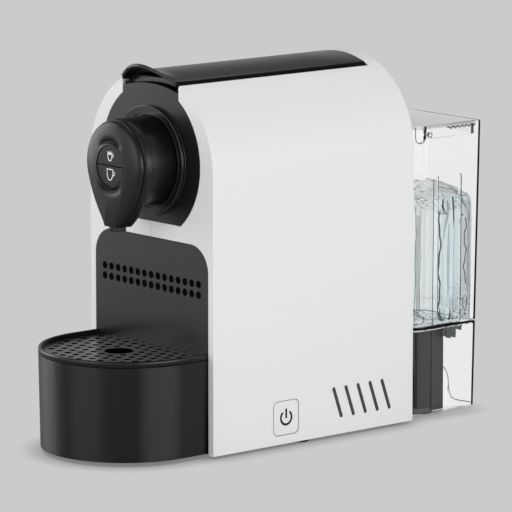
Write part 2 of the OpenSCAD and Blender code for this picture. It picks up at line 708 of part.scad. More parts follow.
// plate around the cage with guided wings and two arms back to the drive pin
module cage_carrier() color("#444444") placed() difference() {
    union() {
        box([-arm_in[1], arm_in[1]], [carrier_y, carrier_y + carrier_t], [drive_low, brew_z + cage_r + 1.6]);
        box([slide_gap - frame_in, frame_in - slide_gap], [carrier_y, carrier_y + carrier_t],
            [brew_z - rail_z[0] + slide_gap, brew_z + rail_z[0] - slide_gap]);
        mirror_x() box(arm_in, [carrier_y, drive_y + 6], [drive_low, drive_low + 13]);
    }
    ycyl(cage_r + 0.05, [carrier_y - 1, carrier_y + carrier_t + 1], 0, brew_z);
    mirror_x() slab_x([arm_in[0] - 1, arm_in[1] + 1]) {
        disc(pin_r + drive_play, [drive_y, drive_z]);
        disc(pin_r + drive_play, [drive_y, drive_z - drive_dip]);
        rect([drive_y - pin_r - drive_play, drive_y + pin_r + drive_play], [drive_z - drive_dip, drive_z]);
    }
}
drive_play = 0.5;
drive_dip = drive_r * (1 - cos(rocker_half)) + 0.4;
drive_low = drive_z - drive_dip - pin_r - 3;
// lever side: yoke arms under the lid with hinge and crank bores
module yoke_2d() difference() {
    union() {
        disc(6, [hinge_y, hinge_z]);
        disc(4.6, [crank_y, crank_z]);
        bar([hinge_y, hinge_z], [crank_y, crank_z], 4.2);
        rect([hinge_y - 18.5, hinge_y + 6], [hinge_z + 2, yoke_top]);
    }
    disc(axle_r + run_fit, [hinge_y, hinge_z]);
    disc(pin_r, [crank_y, crank_z]);
}
yoke_top = crown(crank_in[1]) - lid_t - 0.1;
module lever_yoke() color("silver") placed() {
    mirror_x() slab_x(crank_in) yoke_2d();
    box([-crank_in[0], crank_in[0]], [hinge_y - 16, hinge_y - 8], [yoke_top - 5, yoke_top - 2.5]);
}
module crank_pin() color("silver") placed() xcyl(pin_r, [-rocker_in[1], rocker_in[1]], crank_y, crank_z);
// rocker: pivots on the frame, takes the crank pin in a slot above and drives the cage below
module rocker_2d() difference() {
    up = [sin(rocker_half), cos(rocker_half)];
    pivot = [hinge_y, rocker_z];
    union() {
        disc(6, pivot);
        bar(pivot - up * drive_r, pivot + up * 26, 5);
        disc(5, pivot - up * drive_r);
        bar(pivot + up * 12, pivot + up * 27.5, slot_half + 2.6);
    }
    disc(pin_r + run_fit, pivot);
    disc(pin_r, pivot - up * drive_r);
    bar(pivot + up * slot_from, pivot + up * slot_to, slot_half);
}
slot_half = pin_r + 1.3;
slot_from = rocker_drop - crank_r - pin_r - 0.6;
slot_to = norm([crank_y - hinge_y, crank_z - rocker_z]) + pin_r + 0.6;
module rocker() color("silver") placed() mirror_x() slab_x(rocker_in) rocker_2d();
module drive_pin() color("silver") placed() xcyl(pin_r, [-rocker_in[1], rocker_in[1]], drive_y, drive_z);

// ================= lever lid =================
module lid_section_2d(low) difference() {
    intersection() {
        disc(lid_crown, [0, crown_z - lid_crown]);
        rect([-lid_half, lid_half], [low, crown_z + 1]);
    }
    intersection() {
        disc(lid_crown - lid_t, [0, crown_z - lid_crown]);
        rect([lid_t - lid_half, lid_half - lid_t], [0, crown_z]);
    }
}
// upturned finger lip: a curved strip along the front edge of the lid
lip_cols = 24;
lip_rows = 5;
function lip_bulge(x) = 1 - pow(x / lid_half, 2);
function lip_point(x, t, drop) = [x, 0.5 - (lip_reach * lip_bulge(x) + 0.5) * t,
    crown(x) + lip_rise * pow(lip_bulge(x), 1.5) * t * t - drop];
module lip() {
    pts = [for (side = [0, 1], j = [0 : lip_rows], i = [0 : lip_cols])
        lip_point(lid_half * (2 * i / lip_cols - 1), j / lip_rows, side * lid_t)];
    n = lip_cols + 1;
    m = n * (lip_rows + 1);
    top = [for (j = [0 : lip_rows - 1], i = [0 : lip_cols - 1]) let (a = j * n + i)
        each [[a, a + 1, a + n + 1], [a, a + n + 1, a + n]]];
    low = [for (f = top) [m + f[2], m + f[1], m + f[0]]];
    ends = [for (i = [0 : lip_cols - 1]) let (a = i, b = lip_rows * n + i)
        each [[a + 1, a, m + a], [a + 1, m + a, m + a + 1], [b, b + 1, m + b + 1], [b, m + b + 1, m + b]]];
    sides = [for (j = [0 : lip_rows - 1]) let (a = j * n, b = a + lip_cols)
        each [[a, a + n, m + a + n], [a, m + a + n, m + a], [b + n, b, m + b], [b + n, m + b, m + b + n]]];
    polyhedron(points = pts, faces = concat(top, low, ends, sides));
}
module lever_lid() color("#303030") placed() {
    slab_y([0.4, plate_back + 0.6]) lid_section_2d(crown_z - 7);
    slab_y([plate_back + 0.6, lid_l]) lid_section_2d(chute_z + 2.6);
    lip();
    // front skirt between the lid and the crest of the head plate
    slab_y([0.4, shell_wall - 0.3]) difference() {
        intersection() {
            rect([-neck_half + 0.3, neck_half - 0.3], [crown_z - 14, crown_z]);
            disc(lid_crown - 0.5, [0, crown_z - lid_crown]);
        }
        disc(plate_crest + 0.3, [0, crown_z - 7.6 - plate_crest]);
    }
}

// ================= drawer =================
module front_panel() color("#303030") placed() difference() {
    slab_y([0, panel_t]) panel_2d(0);
    for (i = [0 : perf_cols - 1], row = [0, 1])
        ycyl(perf_d / 2, [-1, panel_t + 1], (i - (perf_cols - 1) / 2) * perf_pitch, perf_z - row * perf_pitch);
}
perf_z = panel_top - 23.3;
// D-shaped solid between two heights, drawn in by g
module tray_solid(z, g) {
    r1 = tray_r - tray_draft * (tray_top - z[0]) / tray_top - g;
    r2 = tray_r - tray_draft * (tray_top - z[1]) / tray_top - g;
    translate([0, -tray_straight, z[0]]) cylinder(r1 = r1, r2 = r2, h = z[1] - z[0]);
    slab_y([-tray_straight, -g]) polygon([[-r1, z[0]], [r1, z[0]], [r2, z[1]], [-r2, z[1]]]);
}
module tray_2d(g, back) {
    disc(tray_r - g, [0, -tray_straight]);
    rect([g - tray_r, tray_r - g], [-tray_straight, -back]);
}
// D outline cut off at the panel
module d_2d(g, back) intersection() {
    tray_2d(g, back);
    rect([-tray_r, tray_r], [-tray_reach, -back]);
}
module drip_tray() color("#2b2b2b") placed() difference() {
    intersection() {
        tray_solid([panel_low, tray_top], 0);
        box([-tray_r, tray_r], [-tray_reach, 0], [0, tray_top]);
    }
    intersection() {
        tray_solid([panel_low + tray_wall, tray_top + 1], tray_wall);
        box([-tray_r, tray_r], [-tray_reach, -tray_wall], [0, tray_top + 1]);
    }
}
module tray_rim() color("#303030") placed() {
    difference() {
        slab_z([tray_top + slide_gap, rim_top]) d_2d(0, 0);
        slab_z([tray_top - 1, rim_top + 1]) d_2d(1.9, -1);
    }
    // ledge under the grid, and a spigot into the tray
    slab_z([tray_top, tray_top + slide_gap]) difference() {
        d_2d(1, 0.3);
        d_2d(tray_wall + ledge_w, 1.9);
    }
    slab_z([tray_top - 3, tray_top]) difference() {
        d_2d(tray_wall + 0.25, tray_wall + 0.3);
        d_2d(tray_wall + ledge_w, 1);
    }
}
module drip_grid() color("gray") placed() slab_z([grid_top - grid_t, grid_top]) difference() {
    d_2d(1.9 + slide_gap, slide_gap);
    disc(finger_r, [0, -grid_centre]);
    step = grid_pitch * sin(60);
    for (k = [0 : 12], i = [-8 : 8]) {
        x = (i + (k % 2 == 0 ? 0.5 : 0)) * grid_pitch;
        y = -3.8 - k * step;
        edge = tray_r - 1.9 - grid_hole_d / 2 - 2.4;
        if (norm([x, min(0, y + tray_straight)]) < edge && norm([x, y + grid_centre]) > finger_r + grid_hole_d / 2 + 1)
            disc(grid_hole_d / 2, [x, y], $fn = 32);
    }
}
grid_centre = 25.5;
module capsule_bin() color("#3a3a3a") placed() difference() {
    box([-bin_w / 2, bin_w / 2], [panel_t, panel_t + bin_l], [bin_z, bin_z + bin_h]);
    box([bin_wall - bin_w / 2, bin_w / 2 - bin_wall], [panel_t + bin_wall, panel_t + bin_l - bin_wall],
        [bin_z + bin_wall, bin_z + bin_h + 1]);
}

// ================= heater, pump and tubes =================
heater_posts = [heater_x[0] + 8, heater_x[1] - 8];
meter_low = suction_z - 14;
heater_mid = (heater_y[0] + heater_y[1]) / 2;
module thermoblock() color("lightgray") placed() {
    box(heater_x, heater_y, heater_z);
    for (x = [heater_x[0] + 10, hot_x]) zcyl(3.2, [heater_z[1], heater_z[1] + 4], x, heater_mid);
}
module thermostats() color("white") placed() for (z = [65, 100])
    ycyl(7, [heater_y[1], heater_y[1] + 5], (heater_x[0] + heater_x[1]) / 2, z);
module hot_tube() color("whitesmoke") placed()
    pipe([[hot_x, heater_mid, heater_z[1] + 4], [hot_x, heater_mid, heater_z[1] + 10], [hot_x, hot_y, heater_z[1] + 10],
        [hot_x, hot_y, brew_z], [0, hot_y, brew_z], [0, bridge_y + bridge_t + 3, brew_z]], tube_r);
pump_top = 112;
module pump_body() color("tan") placed() {
    zcyl(pump_r, [13, 104], pump_x, pump_y);
    zcyl(5, [104, pump_top], pump_x, pump_y);
}
module pump_coil() color("black") placed() difference() {
    zcyl(19, coil_z, pump_x, pump_y);
    zcyl(pump_r + 0.1, [coil_z[0] - 1, coil_z[1] + 1], pump_x, pump_y);
}
coil_z = [46, 88];
module pump_bracket() color("silver") placed() difference() {
    box([pump_x - 21, pump_x + 21], [pump_y - 19.2, pump_y + 21], [coil_z[0] - 2, coil_z[1] + 2]);
    box([pump_x - 22, pump_x + 22], [pump_y - 20, pump_y + 19.1], coil_z);
    zcyl(pump_r + 0.1, [coil_z[0] - 3, coil_z[1] + 3], pump_x, pump_y);
}
module pump_mount() color("black") placed() difference() {
    zcyl(pump_r + 3, [14, 36], pump_x, pump_y);
    zcyl(pump_r + 0.05, [13, 37], pump_x, pump_y);
}
module pressure_tube() color("whitesmoke") placed()
    pipe([[pump_x, pump_y, pump_top], [pump_x, pump_y, heater_z[1] + 8], [pump_x, heater_mid, heater_z[1] + 8],
        [heater_x[0] + 10, heater_mid, heater_z[1] + 8], [heater_x[0] + 10, heater_mid, heater_z[1] + 4]], tube_r);
module flow_meter() color("lightblue") placed() {
    zcyl(meter_r, [meter_low, suction_z + 5], 0, meter_y);
    xcyl(3, [-meter_r - 4, 0], meter_y, meter_low + 5);
    ycyl(1.5, [meter_y + 10, cover_y + 2], 0, suction_z);
}
drop_x = -meter_r - 8.5;
pump_feed_path = [[-meter_r - 4, meter_y, meter_low + 5], [drop_x, meter_y, meter_low + 5], [drop_x, meter_y, 8],
    [drop_x, pump_y, 8], [pump_x, pump_y, 8], [pump_x, pump_y, 13]];
module pump_feed_tube() color("whitesmoke") placed() pipe(pump_feed_path, tube_r);
module suction_tube() color("whitesmoke") placed() difference() {
    ycyl(3, [meter_y + meter_r + 0.1, socket_y - socket_r - 3.4], 0, suction_z);
    ycyl(2.05, [meter_y + meter_r - 1, socket_y], 0, suction_z);
}

// ================= water tank =================
// outline at a height: flat sides, large front corners, small rear corners
module tank_slice(z, g, rear_r, front = 0) {
    t = (tank_rim - z) / tank_rim * tank_draft;
    half = tank_w / 2 - t - g;
    y0 = tank_y + g + front;
    y1 = tank_y + tank_d - t - g;
    rf = max(tank_corner - g, 1);
    translate([0, 0, z]) linear_extrude(0.01) {
        for (s = [-1, 1]) {
            disc(rf, [s * (half - rf), y0 + rf], $fn = 48);
            disc(rear_r, [s * (half - rear_r), y1 - rear_r], $fn = 32);
        }
        rect([-half + rf, half - rf], [y0, y1]);
    }
}
module tank_hull(z, g, rear_r) hull() {
    tank_slice(z[0], g, rear_r);
    tank_slice(z[1] - 0.01, g, rear_r);
}
module water_tank() color("lightcyan", 0.4) placed() {
    difference() {
        tank_hull([tank_foot, tank_rim], 0, 2.5);
        tank_hull([tank_floor, tank_rim + 1], tank_wall, 1);
        tank_hull([tank_foot - 1, tank_floor - tank_floor_t], tank_wall, 1);
        box([-tank_w / 2 + 5, tank_w / 2 - 5], [tank_y - 1, tank_y + 20], [tank_foot - 1, tank_floor - tank_floor_t]);
        // notch in the rear skirt for the cord
        slab_y([tank_y + tank_d - 8, tank_y + tank_d + 1]) {
            rect([-29, 29], [-1, 14]);
            rect([-19, 19], [-1, 24]);
            for (s = [-1, 1]) disc(10, [s * 19, 14]);
        }
        // finger notch in each side wall, and bearings for the lid
        slab_x([-tank_w, tank_w]) {
            rect([tank_y + 4, tank_y + 13], [tank_rim - 6, tank_rim + 1]);
            disc(4.5, [tank_y + 8.5, tank_rim - 6]);
        }
        xcyl(lid_pin_r + run_fit, [-tank_w / 2 + 0.7, tank_w / 2 - 0.7], lid_hinge_y, lid_hinge_z);
        zcyl(3, [tank_floor - tank_floor_t - 1, tank_floor + 1], 0, socket_y);
    }
    difference() {
        zcyl(socket_r - 0.4, [socket_floor + seal_t + slide_gap, tank_floor - tank_floor_t], 0, socket_y);
        zcyl(6, [socket_floor, tank_floor], 0, socket_y);
    }
    mirror_x() for (y = [37, 41, 46, 50.5])
        box([tank_w / 2 - 9.2, tank_w / 2 - 4.2], [tank_y + y - 0.6, tank_y + y + 0.6],
            [tank_floor - tank_floor_t - 6, tank_floor - tank_floor_t]);
}
module tank_valve() color("black") placed() {
    zcyl(1.4, [dock_top - 0.75, tank_floor + poppet_lift], 0, socket_y);
    zcyl(6, [tank_floor + poppet_lift, tank_floor + poppet_lift + 2], 0, socket_y);
}
module valve_basket() color("gray") placed() difference() {
    zcyl(9, [tank_floor, tank_floor + 10], 0, socket_y);
    zcyl(7.4, [tank_floor - 1, tank_floor + 8.4], 0, socket_y);
    for (a = [0 : 60 : 120]) translate([0, socket_y, tank_floor + 3.6]) rotate(a) cube([30, 3, 5], center = true);
}
module tank_lid() color("lightcyan", 0.5) placed() {
    top = tank_rim - 0.2;
    y0 = tank_y + 4.1;
    half = tank_w / 2 - tank_wall - lid_fit;
    rear = tank_y + tank_d - tank_wall - lid_fit;
    low = top - lid_plate_t - lid_skirt;
    rc = tank_corner - tank_wall;
    slab_z([top - lid_plate_t, top]) {
        rect([-half, half], [y0 + rc, rear]);
        rect([rc - half, half - rc], [y0, rear]);
        mirror_x() disc(rc, [half - rc, y0 + rc]);
    }
    // skirt behind the hinge, and the hinge ears with their pins
    skirt_y = lid_hinge_y + 2.6;
    mirror_x() box([half - 2, half - 0.5], [skirt_y, rear - 1], [low, top - lid_plate_t]);
    box([-half + 0.5, half - 0.5], [rear - 2.5, rear - 1], [low, top - lid_plate_t]);
    mirror_x() {
        box([half - 2, half - 0.2], [lid_hinge_y - 2.6, skirt_y], [lid_hinge_z - 2.4, top - lid_plate_t]);
        xcyl(lid_pin_r, [half - 1, half + lid_fit + 1.2], lid_hinge_y, lid_hinge_z);
    }
}

// ================= assembly =================
base_plate();
rubber_feet();
left_shell();
right_shell();
rear_cover();
dock_block();
dock_socket();
dock_seal();
cord_gland();
head_plate();
head_ring();
brew_barrel();
head_back();
head_cover();
spout_nozzle();
coffee_duct();
button_board();
brew_frame();
pierce_plate();
chute_cover();
lever_axle();
rocker_pins();
feed_tube();
hot_tube();
thermoblock();
thermostats();
pressure_tube();
pump_body();
pump_coil();
pump_bracket();
pump_mount();
flow_meter();
pump_feed_tube();
suction_tube();
control_board();
power_switch();
vent_screens();
rear_screws();
base_screws();
lever_lid();
lever_yoke();
crank_pin();
rocker();
drive_pin();
cage_carrier();
capsule_cage();
cage_seal();
cage_needles();
small_cup_button();
large_cup_button();
power_button();
front_panel();
drip_tray();
tray_rim();
capsule_bin();
drip_grid();
water_tank();
tank_valve();
valve_basket();
tank_lid();
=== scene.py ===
import bpy
import bmesh
import json
import math
import random
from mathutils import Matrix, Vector


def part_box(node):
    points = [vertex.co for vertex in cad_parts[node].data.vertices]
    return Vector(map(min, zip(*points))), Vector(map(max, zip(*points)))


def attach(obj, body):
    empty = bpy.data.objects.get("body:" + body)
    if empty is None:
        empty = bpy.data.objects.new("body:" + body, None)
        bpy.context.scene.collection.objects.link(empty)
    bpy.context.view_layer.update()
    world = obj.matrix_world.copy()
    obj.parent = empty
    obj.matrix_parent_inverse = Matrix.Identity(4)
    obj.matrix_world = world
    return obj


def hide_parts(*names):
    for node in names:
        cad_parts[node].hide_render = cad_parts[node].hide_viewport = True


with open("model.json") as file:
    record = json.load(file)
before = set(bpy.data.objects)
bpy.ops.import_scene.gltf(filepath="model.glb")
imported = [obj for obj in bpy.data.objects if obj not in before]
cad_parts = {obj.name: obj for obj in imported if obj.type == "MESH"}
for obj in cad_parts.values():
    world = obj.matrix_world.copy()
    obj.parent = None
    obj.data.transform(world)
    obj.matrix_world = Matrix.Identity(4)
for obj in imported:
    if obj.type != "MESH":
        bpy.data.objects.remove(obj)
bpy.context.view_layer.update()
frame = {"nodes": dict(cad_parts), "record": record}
nodes = frame["nodes"]

# shapes are given in millimetres from the front of the head plate and the lower edge of the shells
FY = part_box("head_plate")[0].y
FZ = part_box("left_shell")[0].z


def P(x, y, z):
    return Vector((x / 1000, FY + y / 1000, FZ + z / 1000))


# ---------------------------------------------------------------- materials
def new_material(name):
    m = bpy.data.materials.new(name)
    m.use_nodes = True
    nt = m.node_tree
    return m, nt, nt.nodes["Principled BSDF"]


def map_range(nt, value, low, high, to_low=0.0, to_high=1.0, smoothly=False):
    """Carry a value from one range into another."""
    r = nt.nodes.new("ShaderNodeMapRange")
    if smoothly:
        r.interpolation_type = "SMOOTHSTEP"
    for socket, v in (("From Min", low), ("From Max", high), ("To Min", to_low), ("To Max", to_high)):
        r.inputs[socket].default_value = v
    nt.links.new(value, r.inputs["Value"])
    return r.outputs["Result"]


def math_node(nt, operation, *values, clamp=False):
    """Math node whose inputs are numbers or sockets."""
    n = nt.nodes.new("ShaderNodeMath")
    n.operation = operation
    n.use_clamp = clamp
    for k, v in enumerate(values):
        if isinstance(v, (int, float)):
            n.inputs[k].default_value = v
        else:
            nt.links.new(v, n.inputs[k])
    return n.outputs[0]


def place(nt, axis):
    """A point's place along an axis of its object (metres)."""
    sep = nt.nodes.new("ShaderNodeSeparateXYZ")
    nt.links.new(nt.nodes["Texture Coordinate"].outputs["Object"], sep.inputs[0])
    return sep.outputs[axis]


def colour_mix(nt, factor, a, b, blend="MIX"):
    """Mix two colours, each a socket or a plain colour."""
    m = nt.nodes.new("ShaderNodeMix")
    m.data_type = "RGBA"
    m.blend_type = blend
    for socket, v in (("Factor", factor), ("A", a), ("B", b)):
        if isinstance(v, (float, tuple)):
            m.inputs[socket].default_value = v
        else:
            nt.links.new(v, m.inputs[socket])
    return m.outputs["Result"]


def grain(nt, bsdf, scale, bump, rough, spread):
    """Fine surface grain: bump, and a slow drift of the roughness."""
    co = nt.nodes.new("ShaderNodeTexCoord")
    fine = nt.nodes.new("ShaderNodeTexNoise")
    fine.inputs["Scale"].default_value = scale
    fine.inputs["Detail"].default_value = 3
    b = nt.nodes.new("ShaderNodeBump")
    b.inputs["Strength"].default_value = bump
    b.inputs["Distance"].default_value = 0.0002
    slow = nt.nodes.new("ShaderNodeTexNoise")
    slow.inputs["Scale"].default_value = 25
    slow.inputs["Detail"].default_value = 2
    drift = map_range(nt, slow.outputs["Fac"], 0, 1, rough - spread, rough + spread)
    link = nt.links.new
    link(co.outputs["Object"], fine.inputs["Vector"])
    link(co.outputs["Object"], slow.inputs["Vector"])
    link(fine.outputs["Fac"], b.inputs["Height"])
    link(b.outputs["Normal"], bsdf.inputs["Normal"])
    link(drift, bsdf.inputs["Roughness"])


def plastic(name, colour, rough, bump=0.06, scale=2600, spec=0.5, spread=0.03):
    m, nt, b = new_material(name)
    b.inputs["Base Color"].default_value = (*colour, 1)
    b.inputs["Specular IOR Level"].default_value = spec
    grain(nt, b, scale, bump, rough, spread)
    return m


def stretched(nt, scale):
    """Object coordinates, stretched along the axes."""
    mp = nt.nodes.new("ShaderNodeMapping")
    mp.inputs["Scale"].default_value = scale
    nt.links.new(nt.nodes["Texture Coordinate"].outputs["Object"], mp.inputs["Vector"])
    return mp.outputs["Vector"]


def metal(name, colour, rough, stretch=(1, 1, 1), bump=0.15, scale=900):
    m, nt, b = new_material(name)
    b.inputs["Base Color"].default_value = (*colour, 1)
    b.inputs["Metallic"].default_value = 1
    grain(nt, b, scale, bump, rough, 0.05)
    nt.links.new(stretched(nt, stretch), nt.nodes["Noise Texture"].inputs["Vector"])
    return m


def ramp(nt, fac, stops):
    """Colour ramp through (place, colour) stops."""
    r = nt.nodes.new("ShaderNodeValToRGB")
    e = r.color_ramp.elements
    while len(e) < len(stops):
        e.new(0.5)
    for item, (pos, c) in zip(e, stops):
        item.position = pos
        item.color = (*c, 1)
    nt.links.new(fac, r.inputs["Fac"])
    return r.outputs["Color"]


def clear(name, colour, ior, rough):
    m, nt, b = new_material(name)
    b.inputs["Base Color"].default_value = (*colour, 1)
    b.inputs["Transmission Weight"].default_value = 1
    b.inputs["IOR"].default_value = ior
    co = nt.nodes.new("ShaderNodeTexCoord")
    n = nt.nodes.new("ShaderNodeTexNoise")
    n.inputs["Scale"].default_value = 18
    nt.links.new(co.outputs["Object"], n.inputs["Vector"])
    nt.links.new(map_range(nt, n.outputs["Fac"], 0, 1, max(rough - 0.01, 0), rough + 0.02), b.inputs["Roughness"])
    return m


def paint_shading_ramp(m, axis, low, high, dark, light):
    """Paint shade: let the colour run from dark to light along an axis of the object (metres)."""
    nt = m.node_tree
    tone = map_range(nt, place(nt, axis), low, high, dark, light, smoothly=True)
    nt.links.new(tone, nt.nodes["Principled BSDF"].inputs["Base Color"])
    return m


def shade_hole_walls(m, colour, spec):
    """Painted shade in the holes: keep colour and specular on the faces that look up, and let both fall to nothing on
    the walls of the holes.
    """
    nt = m.node_tree
    geo = nt.nodes.new("ShaderNodeNewGeometry")
    sep = nt.nodes.new("ShaderNodeSeparateXYZ")
    nt.links.new(geo.outputs["Normal"], sep.inputs[0])
    for socket, top in (("Base Color", colour), ("Specular IOR Level", spec)):
        level = map_range(nt, sep.outputs["Z"], 0.4, 0.8, 0, top)
        nt.links.new(level, nt.nodes["Principled BSDF"].inputs[socket])
    return m


def upright(m, amount):
    """A finish polished up and down, so that reflections spread along the height."""
    nt = m.node_tree
    t = nt.nodes.new("ShaderNodeTangent")
    t.direction_type = "RADIAL"
    t.axis = "Z"
    b = nt.nodes["Principled BSDF"]
    b.inputs["Anisotropic"].default_value = amount
    b.inputs["Anisotropic Rotation"].default_value = 0.25
    nt.links.new(t.outputs[0], b.inputs["Tangent"])
    return m


M = {
    "white_shell": plastic("white_plastic", (0.835, 0.835, 0.835), 0.42, 0.04, 3000),
    "black_gloss": plastic("black_plastic", (0.0045, 0.0045, 0.0047), 0.30, 0.03, 3000, 0.5, 0.03),
    "black_satin": plastic("black_satin_plastic", (0.012, 0.012, 0.0125), 0.45, 0.10, 2400),
    "black_inner": plastic("dark_inner_plastic", (0.004, 0.004, 0.0042), 0.6, 0.05, 1800, 0.15),
    "grey_inner": plastic("grey_inner_plastic", (0.22, 0.22, 0.23), 0.5, 0.1, 1800),
    "steel": metal("satin_steel", (0.62, 0.62, 0.61), 0.34),
    "zinc": metal("pressed_steel", (0.5, 0.5, 0.51), 0.42),
    "heater": metal("cast_aluminium", (0.66, 0.66, 0.67), 0.5, (1, 1, 1), 0.5, 500),
    "rubber": plastic("black_rubber", (0.014, 0.014, 0.014), 0.8, 0.3, 1500, 0.3),
    "clear": clear("clear_plastic", (1.0, 1.0, 1.0), 1.36, 0.015),
    "silicone": plastic("silicone", (0.7, 0.7, 0.68), 0.5, 0.05, 1500),
    "board": plastic("circuit_board", (0.02, 0.16, 0.07), 0.45, 0.3, 700),
    "brass": metal("machined_brass", (0.72, 0.52, 0.24), 0.3, (1, 1, 12)),
    "winding": plastic("wound_coil", (0.10, 0.035, 0.015), 0.5, 0.6, 900),
}
print_white = plastic("print_white", (0.86, 0.86, 0.86), 0.5, 0.02)
print_grey = plastic("print_grey", (0.006, 0.006, 0.006), 0.5, 0.02, 2600, 0.2)
# grey for the fine joints, and for painted shade in the water's dark streaks
joint_and_shade_grey = plastic("joint_and_shade_grey", (0.16, 0.16, 0.16), 0.6, 0.05, 2600, 0.2)
slot_dark = plastic("slot_dark", (0.06, 0.06, 0.06), 0.7, 0.2, 1500, 0.2)
# near-black for painted shade in gaps and holes and under the grid
shade_black = plastic("painted_shade_black", (0.0015, 0.0015, 0.0015), 0.8, 0.1, 2000, 0.03)
head_mat = plastic("head_satin", (0.010, 0.010, 0.010), 0.36, 0.03, 3000, 0.38, 0.02)
# grid finish, with painted shade on the walls of its holes
grid_mat = shade_hole_walls(plastic("grid_enamel", (0.014, 0.014, 0.014), 0.28, 0.05, 1500, 0.9), 0.016, 0.95)
head_shade = plastic("head_shade", (0.004, 0.004, 0.004), 0.5, 0.03, 3000, 0.15)
# lighter grey for the ring's edge beads: painted highlight
edge_highlight = plastic("edge_highlight", (0.05, 0.05, 0.05), 0.3, 0.03, 3000, 0.8)
panel_mat = plastic("panel_satin", (0.04, 0.04, 0.04), 0.24, 0.03, 2600, 0.8)
# painted shade: the panel darker towards its lower edge
paint_shading_ramp(panel_mat, "Z", 0.060, 0.084, 0.006, 0.033)
tray_mat = upright(plastic("tray_gloss", (0.004, 0.004, 0.004), 0.44, 0.03, 3000, 0.5, 0.02), 0.92)
ring_mat = plastic("ring_gloss", (0.009, 0.009, 0.009), 0.25, 0.02, 3000, 0.5, 0.02)
# painted reflection and shade: the plate darker towards its right side
plate_mat = paint_shading_ramp(plastic("plate_satin", (0.02, 0.02, 0.02), 0.36, 0.04, 3000), "X", 0.036, -0.022, 0.003, 0.013)
# lighter grey for the lip's rolled edge: painted highlight
lip_highlight = plastic("lip_edge", (0.022, 0.022, 0.022), 0.35, 0.03, 3000, 0.6)
# dark and grey clear: painted shade for the dark lines and grey patches that bent light makes in the clear tank and the
# water
dark_shade_clear = clear("painted_edge_shade", (0.09, 0.10, 0.10), 1.46, 0.02)
grey_shade_clear = clear("painted_grey_clear", (0.80, 0.82, 0.81), 1.33, 0.02)
glint = plastic("glint", (0.98, 1.0, 1.0), 0.35, 0.03, 3000, 0.3)
veil = clear("veil_clear", (0.66, 0.69, 0.69), 1.01, 0.0)

# gloss of the lid, with painted shade: its reflection dimmed beside its long edges
lid_mat = plastic("lid_gloss", (0.0045, 0.0045, 0.0047), 0.30, 0.03, 3000, 0.5, 0.03)
nt = lid_mat.node_tree
rim = map_range(nt, math_node(nt, "ABSOLUTE", place(nt, "X")), 0.0249, 0.0262, 0.5, 0.06)
nt.links.new(rim, nt.nodes["Principled BSDF"].inputs["Specular IOR Level"])

# lid of the tank: milky plate above, clear skirt below
frosted = clear("frosted_clear", (1.0, 1.0, 1.0), 1.40, 0.12)
nt = frosted.node_tree
plate_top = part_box("tank_lid")[1].z
skirt = map_range(nt, place(nt, "Z"), plate_top - 0.0026, plate_top - 0.0020, 1.0, 0.15)
nt.links.new(skirt, nt.nodes["Principled BSDF"].inputs["Transmission Weight"])


def water_material():
    """Clear water, its colour painted with the upright streaks and swirls of light that the water bends."""
    m = clear("water", (0.80, 0.93, 0.94), 1.16, 0.0)
    nt = m.node_tree

    def noise(scale, detail, distortion):
        n = nt.nodes.new("ShaderNodeTexNoise")
        for socket, v in (("Scale", 1.0), ("Detail", detail), ("Distortion", distortion)):
            n.inputs[socket].default_value = v
        nt.links.new(stretched(nt, scale), n.inputs["Vector"])
        return n.outputs["Fac"]

    streaks = ramp(nt, noise((60, 60, 3.5), 1.2, 0.25), [
        (0.30, (1.0, 1.0, 1.0)), (0.37, (0.84, 0.87, 0.87)), (0.405, (1.0, 1.0, 1.0)), (0.43, (0.58, 0.62, 0.62)),
        (0.445, (0.95, 0.98, 0.98)), (0.52, (0.85, 0.93, 0.94)), (0.585, (1.0, 1.0, 1.0)), (0.65, (0.82, 0.90, 0.91))])
    swirls = ramp(nt, noise((150, 150, 130), 2.0, 1.6), [
        (0.34, (0.95, 0.98, 0.98)), (0.42, (0.62, 0.68, 0.68)), (0.46, (0.16, 0.20, 0.20)), (0.48, (0.88, 0.94, 0.94)),
        (0.56, (0.60, 0.66, 0.66)), (0.61, (1.0, 1.0, 1.0)), (0.68, (0.70, 0.78, 0.78)), (0.74, (0.97, 1.0, 1.0))])
    height, depth = place(nt, "Z"), place(nt, "Y")
    # painted swirls of bent light near the floor and the surface, painted streaks between them
    low_end = map_range(nt, height, FZ + 0.070, FZ + 0.060, smoothly=True)
    high_end = map_range(nt, height, FZ + 0.126, FZ + 0.134, smoothly=True)
    bent_light = colour_mix(nt, math_node(nt, "MAXIMUM", low_end, high_end), streaks, swirls)
    # painted soft upright bands of light and shade along the side walls
    near, far = 163, 220
    along = map_range(nt, depth, FY + near / 1000, FY + far / 1000)
    tones = [(171.5, 0.93, 0.92, 0.90), (173.5, 0.62, 0.60, 0.58), (175.5, 0.86, 0.85, 0.83), (178, 0.70, 0.69, 0.67),
             (180.5, 0.93, 0.93, 0.92), (183.5, 0.80, 0.80, 0.79), (186.5, 1.0, 1.0, 1.0), (190.5, 0.90, 0.97, 0.98),
             (193.5, 0.58, 0.68, 0.69), (195.5, 0.84, 0.95, 0.97), (201, 0.80, 0.93, 0.96), (204.6, 0.66, 0.78, 0.80),
             (207, 0.92, 1.0, 1.0), (212, 0.82, 0.94, 0.96), (215.5, 0.88, 0.95, 0.96), (218.4, 0.40, 0.47, 0.47)]
    bands = ramp(nt, along, [((y - near) / (far - near), rgb) for y, *rgb in tones])
    banded = colour_mix(nt, 0.9, bent_light, bands, "MULTIPLY")
    # the rear face stays plain
    rear = map_range(nt, depth, FY + 0.2186, FY + 0.2194)
    nt.links.new(colour_mix(nt, rear, banded, (0.90, 0.97, 0.975, 1)), nt.nodes["Principled BSDF"].inputs["Base Color"])
    return m


water_mat = water_material()

